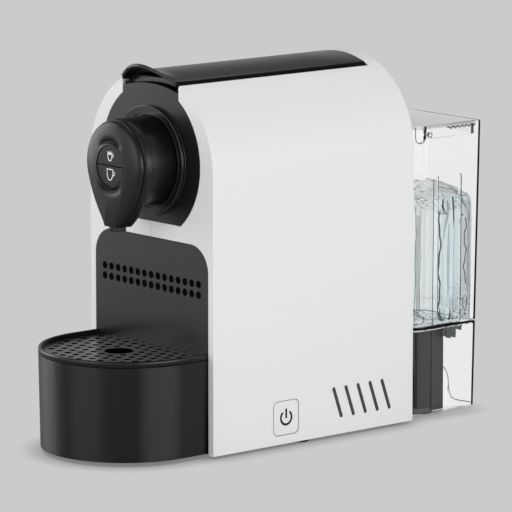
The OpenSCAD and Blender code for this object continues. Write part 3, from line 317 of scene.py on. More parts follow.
# surface of the water: dark and light crests painted in, standing in for its reflections and shade
surface_mat = clear("water_surface", (0.80, 0.82, 0.81), 1.2, 0.0)
nt = surface_mat.node_tree
wave = nt.nodes.new("ShaderNodeTexNoise")
for socket, value in (("Scale", 130), ("Detail", 1.5), ("Distortion", 2.2)):
    wave.inputs[socket].default_value = value
nt.links.new(nt.nodes["Texture Coordinate"].outputs["Object"], wave.inputs["Vector"])
crests = ramp(nt, wave.outputs["Fac"], [
    (0.36, (0.10, 0.11, 0.11)), (0.46, (0.78, 0.80, 0.80)), (0.60, (0.48, 0.51, 0.51))])
nt.links.new(crests, nt.nodes["Principled BSDF"].inputs["Base Color"])

slot_of = {s["node"]: s.get("material_slot", s["node"]) for s in frame["record"]["subparts"]}


def paint(obj, material):
    obj.data.materials.clear()
    obj.data.materials.append(material)


def smooth(obj, angle=32):
    for p in obj.data.polygons:
        p.use_smooth = True
    obj.data.set_sharp_from_angle(angle=math.radians(angle))


def soften(obj, width):
    """Weld the CAD mesh and round its sharp edges a little."""
    w = obj.modifiers.new("weld", "WELD")
    w.merge_threshold = 0.000002
    d = obj.modifiers.new("flat", "DECIMATE")
    d.decimate_type = "DISSOLVE"
    d.angle_limit = math.radians(0.1)
    b = obj.modifiers.new("edges", "BEVEL")
    b.width = width / 1000
    b.segments = 2
    b.limit_method = "ANGLE"
    b.angle_limit = math.radians(32)
    b.harden_normals = True
    b.miter_outer = "MITER_SHARP"
    n = obj.modifiers.new("normals", "WEIGHTED_NORMAL")
    n.keep_sharp = True


for name, obj in nodes.items():
    paint(obj, M[slot_of[name]])
    smooth(obj)
paint(nodes["drip_grid"], grid_mat)
paint(nodes["front_panel"], panel_mat)
paint(nodes["drip_tray"], tray_mat)
paint(nodes["head_plate"], plate_mat)
paint(nodes["tank_lid"], frosted)

EDGES = {
    "left_shell": 0.3, "right_shell": 0.3, "head_plate": 0.3, "head_ring": 0.15, "front_panel": 0.4,
    "drip_tray": 0.35, "power_button": 0.3, "small_cup_button": 0.2, "large_cup_button": 0.2,
    "dock_block": 0.5, "brew_barrel": 0.3, "rear_cover": 0.4, "capsule_bin": 0.4,
    "tank_lid": 0.35, "chute_cover": 0.3, "spout_nozzle": 0.15, "lever_yoke": 0.3, "rocker": 0.3,
    "cage_carrier": 0.4, "capsule_cage": 0.4, "brew_frame": 0.4, "thermoblock": 0.8, "pump_coil": 0.6,
}
for name, width in EDGES.items():
    if name in nodes:
        soften(nodes[name], width)


# ---------------------------------------------------------------- mesh helpers
def make(name, verts, faces, material, body, replace=(), angle=32):
    me = bpy.data.meshes.new(name)
    me.from_pydata([tuple(v) for v in verts], [], faces)
    me.update()
    o = bpy.data.objects.new(name, me)
    bpy.context.scene.collection.objects.link(o)
    bm = bmesh.new()
    bm.from_mesh(me)
    bmesh.ops.remove_doubles(bm, verts=bm.verts, dist=1e-7)
    bmesh.ops.recalc_face_normals(bm, faces=bm.faces)
    bm.to_mesh(me)
    bm.free()
    paint(o, material)
    smooth(o, angle)
    if body:
        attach(o, body)
    if replace:
        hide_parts(*replace)
    return o


def loft(rings, cap=True):
    """Quads between closed rings of the same number of points."""
    n = len(rings[0])
    verts = [v for r in rings for v in r]
    faces = []
    for k in range(len(rings) - 1):
        for i in range(n):
            j = (i + 1) % n
            faces.append((k * n + i, k * n + j, (k + 1) * n + j, (k + 1) * n + i))
    if cap:
        faces.append(tuple(range(n))[::-1])
        faces.append(tuple((len(rings) - 1) * n + i for i in range(n)))
    return verts, faces


def wire(path, r, n=8):
    """Thin round bead along points."""
    turns = [math.tau * k / n for k in range(n)]
    rings = []
    for i, p in enumerate(path):
        t = (path[min(i + 1, len(path) - 1)] - path[max(i - 1, 0)]).normalized()
        u = t.orthogonal().normalized() if abs(t.x) > 0.9 else Vector((1, 0, 0)).cross(t).normalized()
        w = t.cross(u)
        rings.append([p + (u * math.cos(a) + w * math.sin(a)) * r / 1000 for a in turns])
    return loft(rings)


# ---------------------------------------------------------------- lever lid with its lip
lo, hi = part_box("lever_lid")
HALF = (hi.x - lo.x) * 500      # half the lid's width
CROWN_Z, CROWN_R = 228.9, 80.0  # top of the lid, and radius across it
LID_END = 151.2                 # rear end
LID_WALL = 2.2
LID_ROUND = 1.7                 # rounding of its long edges
LID_STEPS = 40                  # points across
LID_FOOT = 217.0                # lower edge of the sides
LIP_START, LIP_STEPS = 9.0, 14
LIP_REACH, LIP_RISE = 8.3, 4.8
TOP_POINTS = LID_STEPS + 3      # points of a section's upper line


def lid_top(x):
    return CROWN_Z - CROWN_R + math.sqrt(CROWN_R**2 - x * x)


def fullness(x):
    """1 at the lid's middle, 0 at its long edges."""
    return max(0.0, 1 - (x / HALF) ** 2)


def lid_ring(y_of, rise_of, low, shrink=0.0):
    """One closed section across the lid: over the top, then back underneath."""
    half, inner_half = HALF - shrink, HALF - LID_WALL
    outer, inner = [], []
    for i in range(LID_STEPS + 1):
        x = math.sin(math.pi * (i / LID_STEPS - 0.5)) * half
        edge = max(0.0, abs(x) - (half - LID_ROUND))
        outer.append((x, lid_top(x) - (LID_ROUND - math.sqrt(max(LID_ROUND**2 - edge * edge, 0))) - shrink))
    for i in range(LID_STEPS + 1):
        x = math.sin(math.pi * (0.5 - i / LID_STEPS)) * inner_half
        inner.append((x, lid_top(x) - LID_WALL + shrink * 0.5))
    pts = [(-half, low)] + outer + [(half, low), (inner_half, low)] + inner + [(-inner_half, low)]
    ring = []
    for k, (x, z) in enumerate(pts):
        f, under = fullness(x), k >= TOP_POINTS
        ring.append(P(x, y_of(f, under), z + rise_of(f, under)))
    return ring


rings = []
for y, shrink in [(LID_END, 0.9), (LID_END - 0.15, 0.45), (LID_END - 0.5, 0.15), (LID_END - 1.1, 0.0),
                  (120, 0.0), (80, 0.0), (40, 0.0), (18, 0.0), (11, 0.0)]:
    rings.append(lid_ring(lambda f, u, y=y: y, lambda f, u: 0, LID_FOOT, shrink))
for k in range(LIP_STEPS + 1):
    t = k / LIP_STEPS

    def y_of(f, under, t=t):
        tip = -LIP_REACH * f**1.07 + (0.35 if under else 0)
        return LIP_START + (tip - LIP_START) * t

    def r_of(f, under, t=t):
        return LIP_RISE * f**1.5 * t**2.1 + (0.5 * f * t**3 if under else 0)

    rings.append(lid_ring(y_of, r_of, LID_FOOT + min(1, t * 2) * 4.2))
for d, s in [(0.28, 0.35), (0.42, 0.8)]:
    rings.append(lid_ring(lambda f, u, d=d: -LIP_REACH * f**1.07 - d * (0.4 + 0.6 * f) + (0.2 if u else 0),
                          lambda f, u, s=s: LIP_RISE * f**1.5 + (0.5 * f + s * 0.9 if u else -s * 0.9) * 0.8,
                          LID_FOOT + 4.2 + s))
verts, faces = loft(rings, cap=False)
n = len(rings[0])
for base in (0, (len(rings) - 1) * n):
    for i in range(TOP_POINTS - 1):
        faces.append((base + i, base + i + 1, base + n - 2 - i, base + n - 1 - i))
make("lever_lid_skin", verts, faces, lid_mat, "lever", ["lever_lid"], 50)

# rolled edge along the front of the lip, a lighter grey than the lid: painted highlight
EDGE_HALF, EDGE_R, EDGE_STEPS = 25.4, 0.72, 48
path = []
for i in range(EDGE_STEPS + 1):
    x = EDGE_HALF * math.sin(math.pi * (i / EDGE_STEPS - 0.5))
    f = fullness(x)
    path.append(P(x, -LIP_REACH * f**1.07 - 0.3, lid_top(x) + LIP_RISE * f**1.5 - 1.15 - 0.2 * f))
v, f = wire(path, EDGE_R, 12)
make("lid_rolled_edge", v, f, lip_highlight, "lever")

# front skirt of the lid above the crest of the head plate, with the hollow for the fingers behind it
CREST_R, CREST_CENTRE = 95.3, 126.3
SKIRT_HALF, SKIRT_TOP, SKIRT_STEPS = 26.7, 224.7, 36
sections = []
for i in range(SKIRT_STEPS + 1):
    x = SKIRT_HALF * (2 * i / SKIRT_STEPS - 1)
    foot = CREST_CENTRE + math.sqrt(CREST_R**2 - x * x)
    top = lid_top(x)
    zt = min(SKIRT_TOP, top - 1.3)
    sections.append([P(x, y, z) for y, z in (
        (5.0, foot), (5.0, zt - 0.45), (5.15, zt - 0.1), (5.5, zt), (13.6, zt - 0.3), (13.6, top - 0.9),
        (14.8, top - 0.9), (14.8, zt - 1.3), (6.4, zt - 1.3), (6.4, foot))])
v, f = loft(sections)
make("lid_front_skirt", v, f, M["black_gloss"], "lever")


# ---------------------------------------------------------------- drop-shaped head
BREW_Z = 174.5    # brewing axis
BUTTON_Z = 173.7  # middle of the cup buttons
FOOT_Z = 136.3    # lower end of the drop


MAX_LEAN = 15     # degrees the drop's flanks start below its round top


def outline_hit(ang, r, zc, b, zb):
    """Distance from the buttons' centre to the drop outline, along an angle."""
    dx, dz = math.cos(ang), math.sin(ang)
    sign = 1 if dx >= 0 else -1
    depth = zc - zb
    straight = next(a for a in range(5, 60)
                    if b * math.cos(math.radians(a)) + depth * math.sin(math.radians(a)) >= r)
    lean = math.radians(min(MAX_LEAN, straight - 5))
    oz = BUTTON_Z

    def hit(cx, cz, rad):
        px, pz = -cx, oz - cz
        bq = px * dx + pz * dz
        cq = px * px + pz * pz - rad * rad
        return -bq + math.sqrt(max(bq * bq - cq, 0))

    d = hit(0, zc, r)
    if oz + d * dz >= zc - r * math.sin(lean):
        return d
    k = (b * b + depth * depth - r * r) / (2 * (r - b * math.cos(lean) - depth * math.sin(lean)))
    d = hit(-sign * k * math.cos(lean), zc + k * math.sin(lean), r + k)
    if dz < 0:
        d = min(d, (oz - zb) / -dz)
    return d


# round the drop in steps of 4 degrees, finer across its narrow foot
ANGLES = [math.radians(a) for a in range(-74, 254, 4)]
ANGLES += [math.radians(-106 + 32 * i / 48) for i in range(1, 48)]
ANGLES = sorted(set(round(a, 6) for a in ANGLES))


def drop_ring(y, r, zc, b, zb):
    out = []
    for a in ANGLES:
        d = outline_hit(a, r, zc, b, zb)
        out.append(P(d * math.cos(a), y, BUTTON_Z + d * math.sin(a)))
    return out


back = [(-19.9, 27.0), (-20.05, 27.35), (-20.4, 27.58), (-23.3, 27.6), (-24.2, 27.4), (-24.9, 26.95), (-25.4, 26.35),
        (-25.75, 25.7)]
HEAD_R = 27.6
v, f = loft([drop_ring(y, r, BREW_Z, 6.5 - (HEAD_R - r) * 0.7, FOOT_Z + (HEAD_R - r) * 0.5) for y, r in back])
make("head_rear_shell", v, f, head_mat, "chassis", ["head_back"])
# floor of the parting gap between the rear shell and the dome, in the near-black of painted shade
v, f = loft([drop_ring(y, 25.2, BREW_Z, 5.3, FOOT_Z + 1.2) for y in (-25.4, -26.8)])
make("head_parting", v, f, shade_black, "chassis")

# levels of the dome: depth, then radius, centre, half width of the foot and its height
LEVELS = [(-26.15, 25.5, 174.5, 5.8, 137.0), (-26.4, 26.0, 174.5, 6.2, 136.6), (-26.8, 26.4, 174.5, 6.45, 136.35),
          (-27.3, 26.4, 174.5, 6.5, 136.3), (-28.4, 25.9, 174.45, 6.42, 136.3), (-29.35, 25.0, 174.2, 6.3, 136.3),
          (-30.05, 23.8, 173.8, 6.1, 136.35), (-30.75, 21.5, 172.9, 5.9, 136.4), (-31.35, 18.6, 171.9, 5.7, 136.5),
          (-31.75, 16.2, 171.3, 5.4, 136.9), (-31.95, 13.5, 171.0, 5.0, 137.6)]
DISH = 19.6                      # outer edge of the dish round the buttons
SCOOP_IN, SCOOP_OUT = 13.5, 19.2
SCOOP_DEPTH, SCOOP_FROM = 1.6, 0.66


def cover_height(rad, hits):
    """Depth of the dome at a distance from the buttons' centre."""
    pts = [(0.0, -32.0)] + [(h, lv[0]) for h, lv in zip(hits, LEVELS)][::-1]
    for (r0, y0), (r1, y1) in zip(pts, pts[1:]):
        if rad <= r1:
            return y0 + (y1 - y0) * (rad - r0) / max(r1 - r0, 1e-6)
    return pts[-1][1]


def scoop(rad, ang):
    """Depth of the crescents above and below the buttons."""
    if rad <= SCOOP_IN or rad >= SCOOP_OUT:
        return 0.0
    side = max(0.0, abs(math.sin(ang)) - SCOOP_FROM) / (1 - SCOOP_FROM)
    side = side * side * (3 - 2 * side)
    t = (rad - SCOOP_IN) / (SCOOP_OUT - SCOOP_IN)
    return SCOOP_DEPTH * side * min(1.0, t * 5) * (1 - t) ** 1.5


rings = []
INNER = [12.66, 12.7, 12.85, 13.1, 13.4, SCOOP_IN, 13.9, 14.4, 15.0, 15.6, 16.2, 16.8, 17.4, 18.0, 18.6, SCOOP_OUT,
         DISH]
LIFTS = {0: 1.2, 2: -0.12, 3: -0.08}  # rounding of the edge round the buttons
hits_of = {a: [outline_hit(a, *lv[1:]) for lv in LEVELS] for a in ANGLES}
SHADED_FROM = 0.3  # the crescents are darker where they are deeper than this
deep = set()
for k, rad in enumerate(INNER):
    ring = []
    for i, a in enumerate(ANGLES):
        d = scoop(rad, a)
        if d > SHADED_FROM:
            deep.add(k * len(ANGLES) + i)
        y = cover_height(rad, hits_of[a]) + d + LIFTS.get(k, 0)
        ring.append(P(rad * math.cos(a), y, BUTTON_Z + rad * math.sin(a)))
    rings.append(ring)
for j, lv in enumerate(reversed(LEVELS)):
    ring = []
    last = len(LEVELS) - 1 - j
    for a in ANGLES:
        rad = max(hits_of[a][last], DISH + 0.12 * (j + 1))
        y = cover_height(rad, hits_of[a]) if rad > hits_of[a][last] + 1e-6 else lv[0]
        ring.append(P(rad * math.cos(a), y, BUTTON_Z + rad * math.sin(a)))
    rings.append(ring)
v, f = loft(rings, cap=False)
dome = make("head_dome", v, f, head_mat, "chassis", ["head_cover"], 40)
# painted shade: faces deep in the crescents take the darker second material
dome.data.materials.append(head_shade)
shaded = {tuple(round(c, 6) for c in v[i]) for i in deep}
for p in dome.data.polygons:
    if sum(tuple(round(c, 6) for c in dome.data.vertices[i].co) in shaded for i in p.vertices) >= 3:
        p.material_index = 1


def stroke(pts, width, y=None, x=None, closed=False):
    """Flat printed line through points given as (across, z)."""
    out_v, out_f = [], []
    n = len(pts)
    for i, (a, b) in enumerate(pts):
        p = pts[i - 1] if (i > 0 or closed) else pts[i]
        q = pts[(i + 1) % n] if (i < n - 1 or closed) else pts[i]
        t = Vector((q[0] - p[0], q[1] - p[1]))
        t.normalize()
        m = Vector((-t.y, t.x)) * width / 2
        for s in (1, -1):
            u, w = a + s * m.x, b + s * m.y
            out_v.append(P(u, y, w) if y is not None else P(x, u, w))
    for i in range(n if closed else n - 1):
        j = (i + 1) % n
        out_f.append((2 * i, 2 * j, 2 * j + 1, 2 * i + 1))
    return out_v, out_f


def join_parts(parts):
    verts, faces = [], []
    for v, f in parts:
        faces += [tuple(i + len(verts) for i in q) for q in f]
        verts += v
    return verts, faces


def cup_icon(cz, w, h, filled, y):
    """Outline of a cup with its handle."""
    top, low = cz + h / 2, cz - h / 2
    body = [(-w / 2, top), (w / 2, top), (w * 0.44, low + h * 0.42), (w * 0.24, low + h * 0.06), (0, low),
            (-w * 0.24, low + h * 0.06), (-w * 0.44, low + h * 0.42)]
    parts = [stroke(body, 0.72, y=y, closed=True)]
    hx, hz, hr = w * 0.5, top - h * 0.36, h * 0.2
    turns = [math.radians(75 - 150 * i / 10) for i in range(11)]
    arc = [(hx + hr * 1.15 * math.cos(a), hz + hr * math.sin(a)) for a in turns]
    parts.append(stroke([(hx - 0.05, hz + hr)] + arc + [(hx - 0.3, hz - hr)], 0.65, y=y))
    if filled:
        band = [(-w / 2, top), (w / 2, top), (w * 0.47, top - h * 0.3), (-w * 0.47, top - h * 0.3)]
        parts.append(([P(a, y, b) for a, b in band], [(0, 1, 2, 3)]))
    return join_parts(parts)


# cup icons on the two cup buttons: height, width, depth of the cup, and whether it is full
face = (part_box("small_cup_button")[0].y - FY) * 1000
for name, (cz, w, h, filled) in (("small", (179.5, 4.3, 5.3, True)), ("large", (168.4, 5.7, 6.6, False))):
    v, f = cup_icon(cz, w, h, filled, face - 0.03)
    make(name + "_cup_icon", v, f, print_white, name + "_button")

# power icon on the side button
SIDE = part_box("power_button")[1].x * 1000
ICON_Y, ICON_Z, ICON_R, ICON_LINE = 57.9, 16.3, 4.3, 1.45
turns = [math.radians(38 + 284 * i / 40) for i in range(41)]
ring = [(ICON_Y + ICON_R * math.sin(a), ICON_Z + ICON_R * math.cos(a)) for a in turns]
stem = [(ICON_Y, ICON_Z - 0.4), (ICON_Y, ICON_Z + 5.6)]
v, f = join_parts([stroke(line, ICON_LINE, x=SIDE + 0.02) for line in (ring, stem)])
make("power_icon", v, f, print_grey, "power")

# fine grey joint round the power button, at the shell's face
lo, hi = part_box("power_button")
JOINT_IN = 1.45  # from the edge of the button's flange to the joint
JOINT_R = 3.4
y0, y1 = (lo.y - FY) * 1000 + JOINT_IN + JOINT_R, (hi.y - FY) * 1000 - JOINT_IN - JOINT_R
z0, z1 = (lo.z - FZ) * 1000 + JOINT_IN + JOINT_R, (hi.z - FZ) * 1000 - JOINT_IN - JOINT_R
loop = []
for cy, cz, start in ((y1, z1, 0), (y0, z1, 90), (y0, z0, 180), (y1, z0, 270)):
    for i in range(10):
        a = math.radians(start + 10 * i)
        loop.append((cy + JOINT_R * math.cos(a), cz + JOINT_R * math.sin(a)))
v, f = stroke(loop, 0.42, x=SIDE + 0.015, closed=True)
make("power_joint", v, f, joint_and_shade_grey, "chassis")

# dark grey sheets in the five slots on each side, painted shade for the slots' insides, level with the shell's face and
# a little wider than the slots
VENT_FIRST, VENT_PITCH, VENT_COUNT, VENT_Z = 99.8, 10, 5, 20.0
VENT_HALF, VENT_R = 9.3, 1.22  # half length between the round ends, and their radius
lean = math.radians(19.4)
for sx in (-1, 1):
    parts = []
    for k in range(VENT_COUNT):
        cy = VENT_FIRST + VENT_PITCH * k
        loop = []
        for end in (1, -1):
            for i in range(9):
                a = math.radians(-90 + 22.5 * i) + (0 if end > 0 else math.pi)
                u, w = VENT_R * math.sin(a), end * VENT_HALF + VENT_R * math.cos(a)
                loop.append((cy + u * math.cos(lean) - w * math.sin(lean),
                             VENT_Z + u * math.sin(lean) + w * math.cos(lean)))
        parts.append(loft([[P(sx * x, a, b) for a, b in loop] for x in (58.0, 59.015)]))
    v, f = join_parts(parts)
    make("vent_shade_" + ("left" if sx < 0 else "right"), v, f, slot_dark, "chassis")


# crisp flat ring round the barrel
profile = [(27.55, 0.05), (27.55, 1.35), (27.7, 1.5), (29.1, 1.5), (29.2, 1.6), (29.2, 2.2), (29.42, 2.42), (32.9, 2.5),
           (33.25, 2.3), (33.45, 1.9), (33.5, 0.05)]
STEPS = 120
TURNS = [(math.cos(math.tau * k / STEPS), math.sin(math.tau * k / STEPS)) for k in range(STEPS)]
sections = [[P(r * c, -h, BREW_Z + r * q) for r, h in profile] for c, q in TURNS]
n = len(profile)
v = [p for ring in sections for p in ring]
f = [(k * n + i, (k + 1) % STEPS * n + i, (k + 1) % STEPS * n + (i + 1) % n, k * n + (i + 1) % n)
     for k in range(STEPS) for i in range(n)]
make("head_ring_steps", v, f, ring_mat, "chassis", ["head_ring"], 18)

BEAD = 0.16
# thin lighter beads along the ring's edges: painted highlight
for name, r0, h in (("outer", 33.5, 0.25), ("inner", 29.32, 2.36), ("front", 33.2, 2.3)):
    rings = []
    for j in range(7):
        b = math.tau * j / 6
        r = r0 + BEAD * math.cos(b)
        rings.append([P(r * c, -h - BEAD * math.sin(b), BREW_Z + r * q) for c, q in TURNS])
    v, f = loft(rings, cap=False)
    make("head_ring_highlight_" + name, v, f, edge_highlight, "chassis")


# dark sheet under the drip grid, painted shade seen through its holes, open at the finger hole
TRAY_BEND = 19.4  # where the tray's straight sides end
SHEET_R, SHEET_REAR = 49.6, -4.6
SHEET_LOW, SHEET_HIGH = 58.55, 58.8
FINGER_Y, FINGER_R = -25.5, 9.2


def inside(x, y):
    """Whether a place lies within the sheet's half-round outline."""
    return y <= SHEET_REAR and (abs(x) if y >= -TRAY_BEND else math.hypot(x, y + TRAY_BEND)) <= SHEET_R


# search for the outline along each bearing from the finger hole
outer, inner = [], []
for k in range(96):
    a = math.tau * (k + 0.5) / 96
    near_d, far_d = 10.0, 80.0
    for _ in range(24):
        d = (near_d + far_d) / 2
        if inside(d * math.cos(a), FINGER_Y + d * math.sin(a)):
            near_d = d
        else:
            far_d = d
    outer.append((near_d * math.cos(a), FINGER_Y + near_d * math.sin(a)))
    inner.append((FINGER_R * math.cos(a), FINGER_Y + FINGER_R * math.sin(a)))
rings = [[P(x, y, z) for x, y in line] for line, z in (
    (inner, SHEET_LOW), (outer, SHEET_LOW), (outer, SHEET_HIGH), (inner, SHEET_HIGH), (inner, SHEET_LOW))]
v, f = loft(rings, cap=False)
make("grid_shade_sheet", v, f, shade_black, "grid")

# black discs in the two rows of round holes of the front panel: painted shade inside the holes
PERF_PITCH, PERF_R, PERF_Z, PERF_COLUMNS = 6.45, 2.4, 103.7, 15
circle = [(PERF_R * math.cos(math.tau * k / 24), PERF_R * math.sin(math.tau * k / 24)) for k in range(24)]
parts = []
for i in range(PERF_COLUMNS):
    for row in (0, 1):
        cx, cz = (i - (PERF_COLUMNS - 1) / 2) * PERF_PITCH, PERF_Z - PERF_PITCH * row
        parts.append(loft([[P(cx + a, y, cz + b) for a, b in circle] for y in (0.42, 1.2)]))
v, f = join_parts(parts)
make("perforation_shade", v, f, shade_black, "drawer")


# ---------------------------------------------------------------- tray rim
TRAY_R = 53.75


def d_curve(g):
    """Half-round outline of the tray, drawn in by g."""
    r = TRAY_R - g
    pts = [(r, 0.0), (r, -6.0), (r, -13.0)]
    turns = [-math.pi * i / 96 for i in range(97)]
    pts += [(r * math.cos(a), -TRAY_BEND + r * math.sin(a)) for a in turns]
    return pts + [(-r, -13.0), (-r, -6.0), (-r, 0.0)]


profile = [(0.25, 58.9), (0.0, 59.15), (0.0, 61.4), (0.12, 61.95), (0.45, 62.35), (0.95, 62.5), (1.45, 62.35),
           (1.78, 61.95), (1.9, 61.4), (1.9, 58.95), (3.4, 58.92), (3.4, 55.6), (2.25, 55.6), (2.25, 58.5), (1.0, 58.6)]
curves = [[P(x, y, z) for x, y in d_curve(g)] for g, z in profile]
sections = [[curves[k][i] for k in range(len(profile))] for i in range(len(curves[0]))]
v, f = loft(sections)
make("tray_rim_bead", v, f, M["black_gloss"], "drawer", ["tray_rim"], 50)


# ---------------------------------------------------------------- water tank
TANK_TOP, TANK_HALF, TANK_FRONT, TANK_REAR = 184.4, 55, 163.4, 223.4
TANK_DRAFT = 2.3           # the tank is this much narrower at its foot, each side
SLOPE = 0.0125             # about the same, per millimetre of height
TANK_CORNER = 16           # radius of the front corners
NOTCH_Y0, NOTCH_Y1, NOTCH_Z = 167.4, 176.4, 178.4  # finger notch in the sides
NOTCH_R = (NOTCH_Y1 - NOTCH_Y0) / 2
CORD_HALF, CORD_Z, CORD_R = 29, 14, 10             # notch for the cord in the rear skirt


def tank_outline(z, g, rear_r, n=14):
    """Outline of the tank at a height, drawn in by g."""
    t = (TANK_TOP - z) / TANK_TOP * TANK_DRAFT
    half = TANK_HALF - t - g
    y0, y1 = TANK_FRONT + g, TANK_REAR - t - g
    rf = max(TANK_CORNER - g, 1)
    pts = []
    for cx, cy, r, a0 in ((half - rf, y0 + rf, rf, -90), (half - rear_r, y1 - rear_r, rear_r, 0),
                          (-half + rear_r, y1 - rear_r, rear_r, 90), (-half + rf, y0 + rf, rf, 180)):
        for i in range(n + 1):
            a = math.radians(a0 + 90 * i / n)
            pts.append(P(cx + r * math.cos(a), cy + r * math.sin(a), z))
    return pts


def slab(x, y, z):
    v = [P(a, b, c) for c in z for b in y for a in x]
    return v, [(0, 1, 3, 2), (4, 5, 7, 6), (0, 1, 5, 4), (2, 3, 7, 6), (0, 2, 6, 4), (1, 3, 7, 5)]


def cut(obj, cutters):
    """Take the cutters out of a mesh, and drop them."""
    for c in cutters:
        m = obj.modifiers.new("cut", "BOOLEAN")
        m.object = c
        m.operation = "DIFFERENCE"
        m.solver = "EXACT"
    bpy.context.view_layer.update()
    dg = bpy.context.evaluated_depsgraph_get()
    me = bpy.data.meshes.new_from_object(obj.evaluated_get(dg))
    obj.modifiers.clear()
    obj.data = me
    for c in cutters:
        bpy.data.objects.remove(c)
    smooth(obj, 25)


def arc_pts(cy, cz, r, a0, a1):
    """Eleven points along an arc, its ends given in degrees."""
    turns = [math.radians(a0 + (a1 - a0) * i / 10) for i in range(11)]
    return [(cy + r * math.cos(a), cz + r * math.sin(a)) for a in turns]


notch_arc = arc_pts(NOTCH_Y0 + NOTCH_R, NOTCH_Z, NOTCH_R, 180, 360)
cord_arcs = (arc_pts(CORD_R - CORD_HALF, CORD_Z, CORD_R, 180, 90)
             + arc_pts(CORD_HALF - CORD_R, CORD_Z, CORD_R, 90, 0))

W = 1.3  # wall
levels = [(0.9, 0.4, 0.9), (1.1, 0.1, 0.9), (1.5, 0.0, 0.9), (60, 0, 0.9), (120, 0, 0.9), (183.9, 0.0, 0.9),
          (184.25, 0.1, 0.9), (184.4, 0.4, 0.9), (184.4, W - 0.3, 0.5), (184.2, W - 0.05, 0.4), (183.8, W, 0.4),
          (120, W, 0.4), (60, W, 0.4), (57.4, W + 0.1, 0.5), (56.4, W + 0.5, 0.8), (56.0, W + 1.2, 1.2)]
rings = [tank_outline(z, g, rr) for z, g, rr in levels]
v1, f1 = loft(rings, cap=False)
f1.append(tuple((len(rings) - 1) * len(rings[0]) + i for i in range(len(rings[0]))))
low = [(54.6, W + 0.8, 1.0), (54.3, W + 0.3, 0.8), (53.8, W, 0.5), (30, W, 0.4), (1.4, W, 0.4),
       (1.0, W - 0.2, 0.4), (0.9, 0.4, 0.9)]
rings2 = [tank_outline(z, g, rr) for z, g, rr in low]
v2, f2 = loft(rings2, cap=False)
f2.append(tuple(range(len(rings2[0])))[::-1])
v, f = join_parts([(v1, f1), (v2, f2)])
tank = make("tank_shell", v, f, M["clear"], None)
cord_notch = [(-CORD_HALF, -1), (-CORD_HALF, CORD_Z)] + cord_arcs + [(CORD_HALF, -1)]
side_notch = [(NOTCH_Y0, 190), (NOTCH_Y0, NOTCH_Z)] + notch_arc + [(NOTCH_Y1, 190)]
cutters = [slab((-50, 50), (160, 183), (-1, 53.8)),
           loft([[P(a, y, c) for a, c in cord_notch] for y in (214, 230)]),
           loft([[P(x, b, c) for b, c in side_notch] for x in (-70, 70)])]
cut(tank, [make("cutter", v, f, M["clear"], None) for v, f in cutters])
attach(tank, "tank")
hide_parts("water_tank")

# fins under the tank floor, in the dark clear used for painted shade
parts = []
for s in (-1, 1):
    for y, drop in ((198.6, 6.4), (202.4, 8.2), (206.6, 8.2), (211.6, 4.0)):
        ring0 = [P(s * x, y + d, 54.4) for x, d in ((45.8, -0.5), (50.6, -0.5), (50.6, 0.5), (45.8, 0.5))]
        ring1 = [P(s * x, y + d * 0.8, 54.4 - drop) for x, d in ((46.2, -0.5), (50.2, -0.5), (50.2, 0.5), (46.2, 0.5))]
        parts.append(loft([ring0, ring1]))
v, f = join_parts(parts)
make("tank_fins", v, f, dark_shade_clear, "tank")

# dark upright band on each side of the dock block: painted shade
dock_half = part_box("dock_block")[1].x * 1000
for name, x in (("right", (dock_half + 0.02, dock_half + 0.12)), ("left", (-dock_half - 0.12, -dock_half - 0.02))):
    v, f = slab(x, (172.5, 179.2), (3.5, 51.5))
    make("dock_shade_band_" + name, v, f, shade_black, "chassis")

# guide on each side inside the tank: two upright ribs and the edge between their tops
parts = []
for sx in (-1, 1):
    parts.append(slab((sx * 51.2, sx * 52.2), (189.0, 189.7), (57, 151)))
    parts.append(slab((sx * 50.6, sx * 52.2), (208.0, 209.4), (57, 151)))
    parts.append(slab((sx * 51.5, sx * 51.9), (189.7, 208.0), (150.2, 151)))
v, f = join_parts(parts)
make("tank_guide", v, f, M["clear"], "tank")

# milky strips along the foot of the tank's sides
parts = [slab((sx * 52.5, sx * 52.7), (164.5, 184.0), (1.2, 4.4)) for sx in (-1, 1)]
v, f = join_parts(parts)
make("tank_foot_strip", v, f, frosted, "tank")

# dark lines painted where the clear tank's edges bend the light, on each side: inner edge, rim, hinge and finger notch
parts = []
for sx in (-1, 1):
    parts.append(wire([P(sx * 53.3, 184.4, z) for z in (57, 80, 110, 150)], 0.28))
    parts.append(wire([P(sx * 52.2, 184.4, z) for z in (1.5, 20, 40, 53)], 0.32))
    zig = [P(sx * (53.5 + 0.15 * math.sin(i * 1.9)), 195.5 + i * 0.8,
             181.6 + 0.55 * math.sin(i * 1.3) + 0.3 * math.sin(i * 2.9)) for i in range(31)]
    parts.append(wire(zig, 0.42))
    for y, z in ((181.4, 179.4), (180.6, 177.4)):
        parts.append(wire([P(sx * 53.2, y, z), P(sx * 53.6, y, z)], 0.34))
    line = [(NOTCH_Y0, 184.2), (NOTCH_Y0, NOTCH_Z)] + notch_arc + [(NOTCH_Y1, 184.2)]
    parts.append(wire([P(sx * (TANK_HALF - (TANK_TOP - b) * SLOPE), a, b) for a, b in line], 0.26))
v, f = join_parts(parts)
make("tank_edge_lines", v, f, dark_shade_clear, "tank")

# dark bead round the cord's notch, running out along the foot of the skirt: a painted dark line where the clear edge
# bends the light
foot = [(50, 2.6), (36, 3.0), (32, 4.2), (30, 7), (29, 12), (29, 14)]
arch = [(-a, c) for a, c in foot] + cord_arcs + foot[-2::-1]
v, f = wire([P(a, 221.0, c) for a, c in arch], 0.3)
make("tank_notch_line", v, f, dark_shade_clear, "tank")

# white catch at the foot of the tank
catch = ((162.7, 7.6), (163.5, 8.0), (163.5, 12.2), (162.7, 12.6))
v, f = loft([[P(x, b, c) for b, c in catch] for x in (50.5, 54.5)])
make("catch_tab", v, f, M["white_shell"], "chassis")

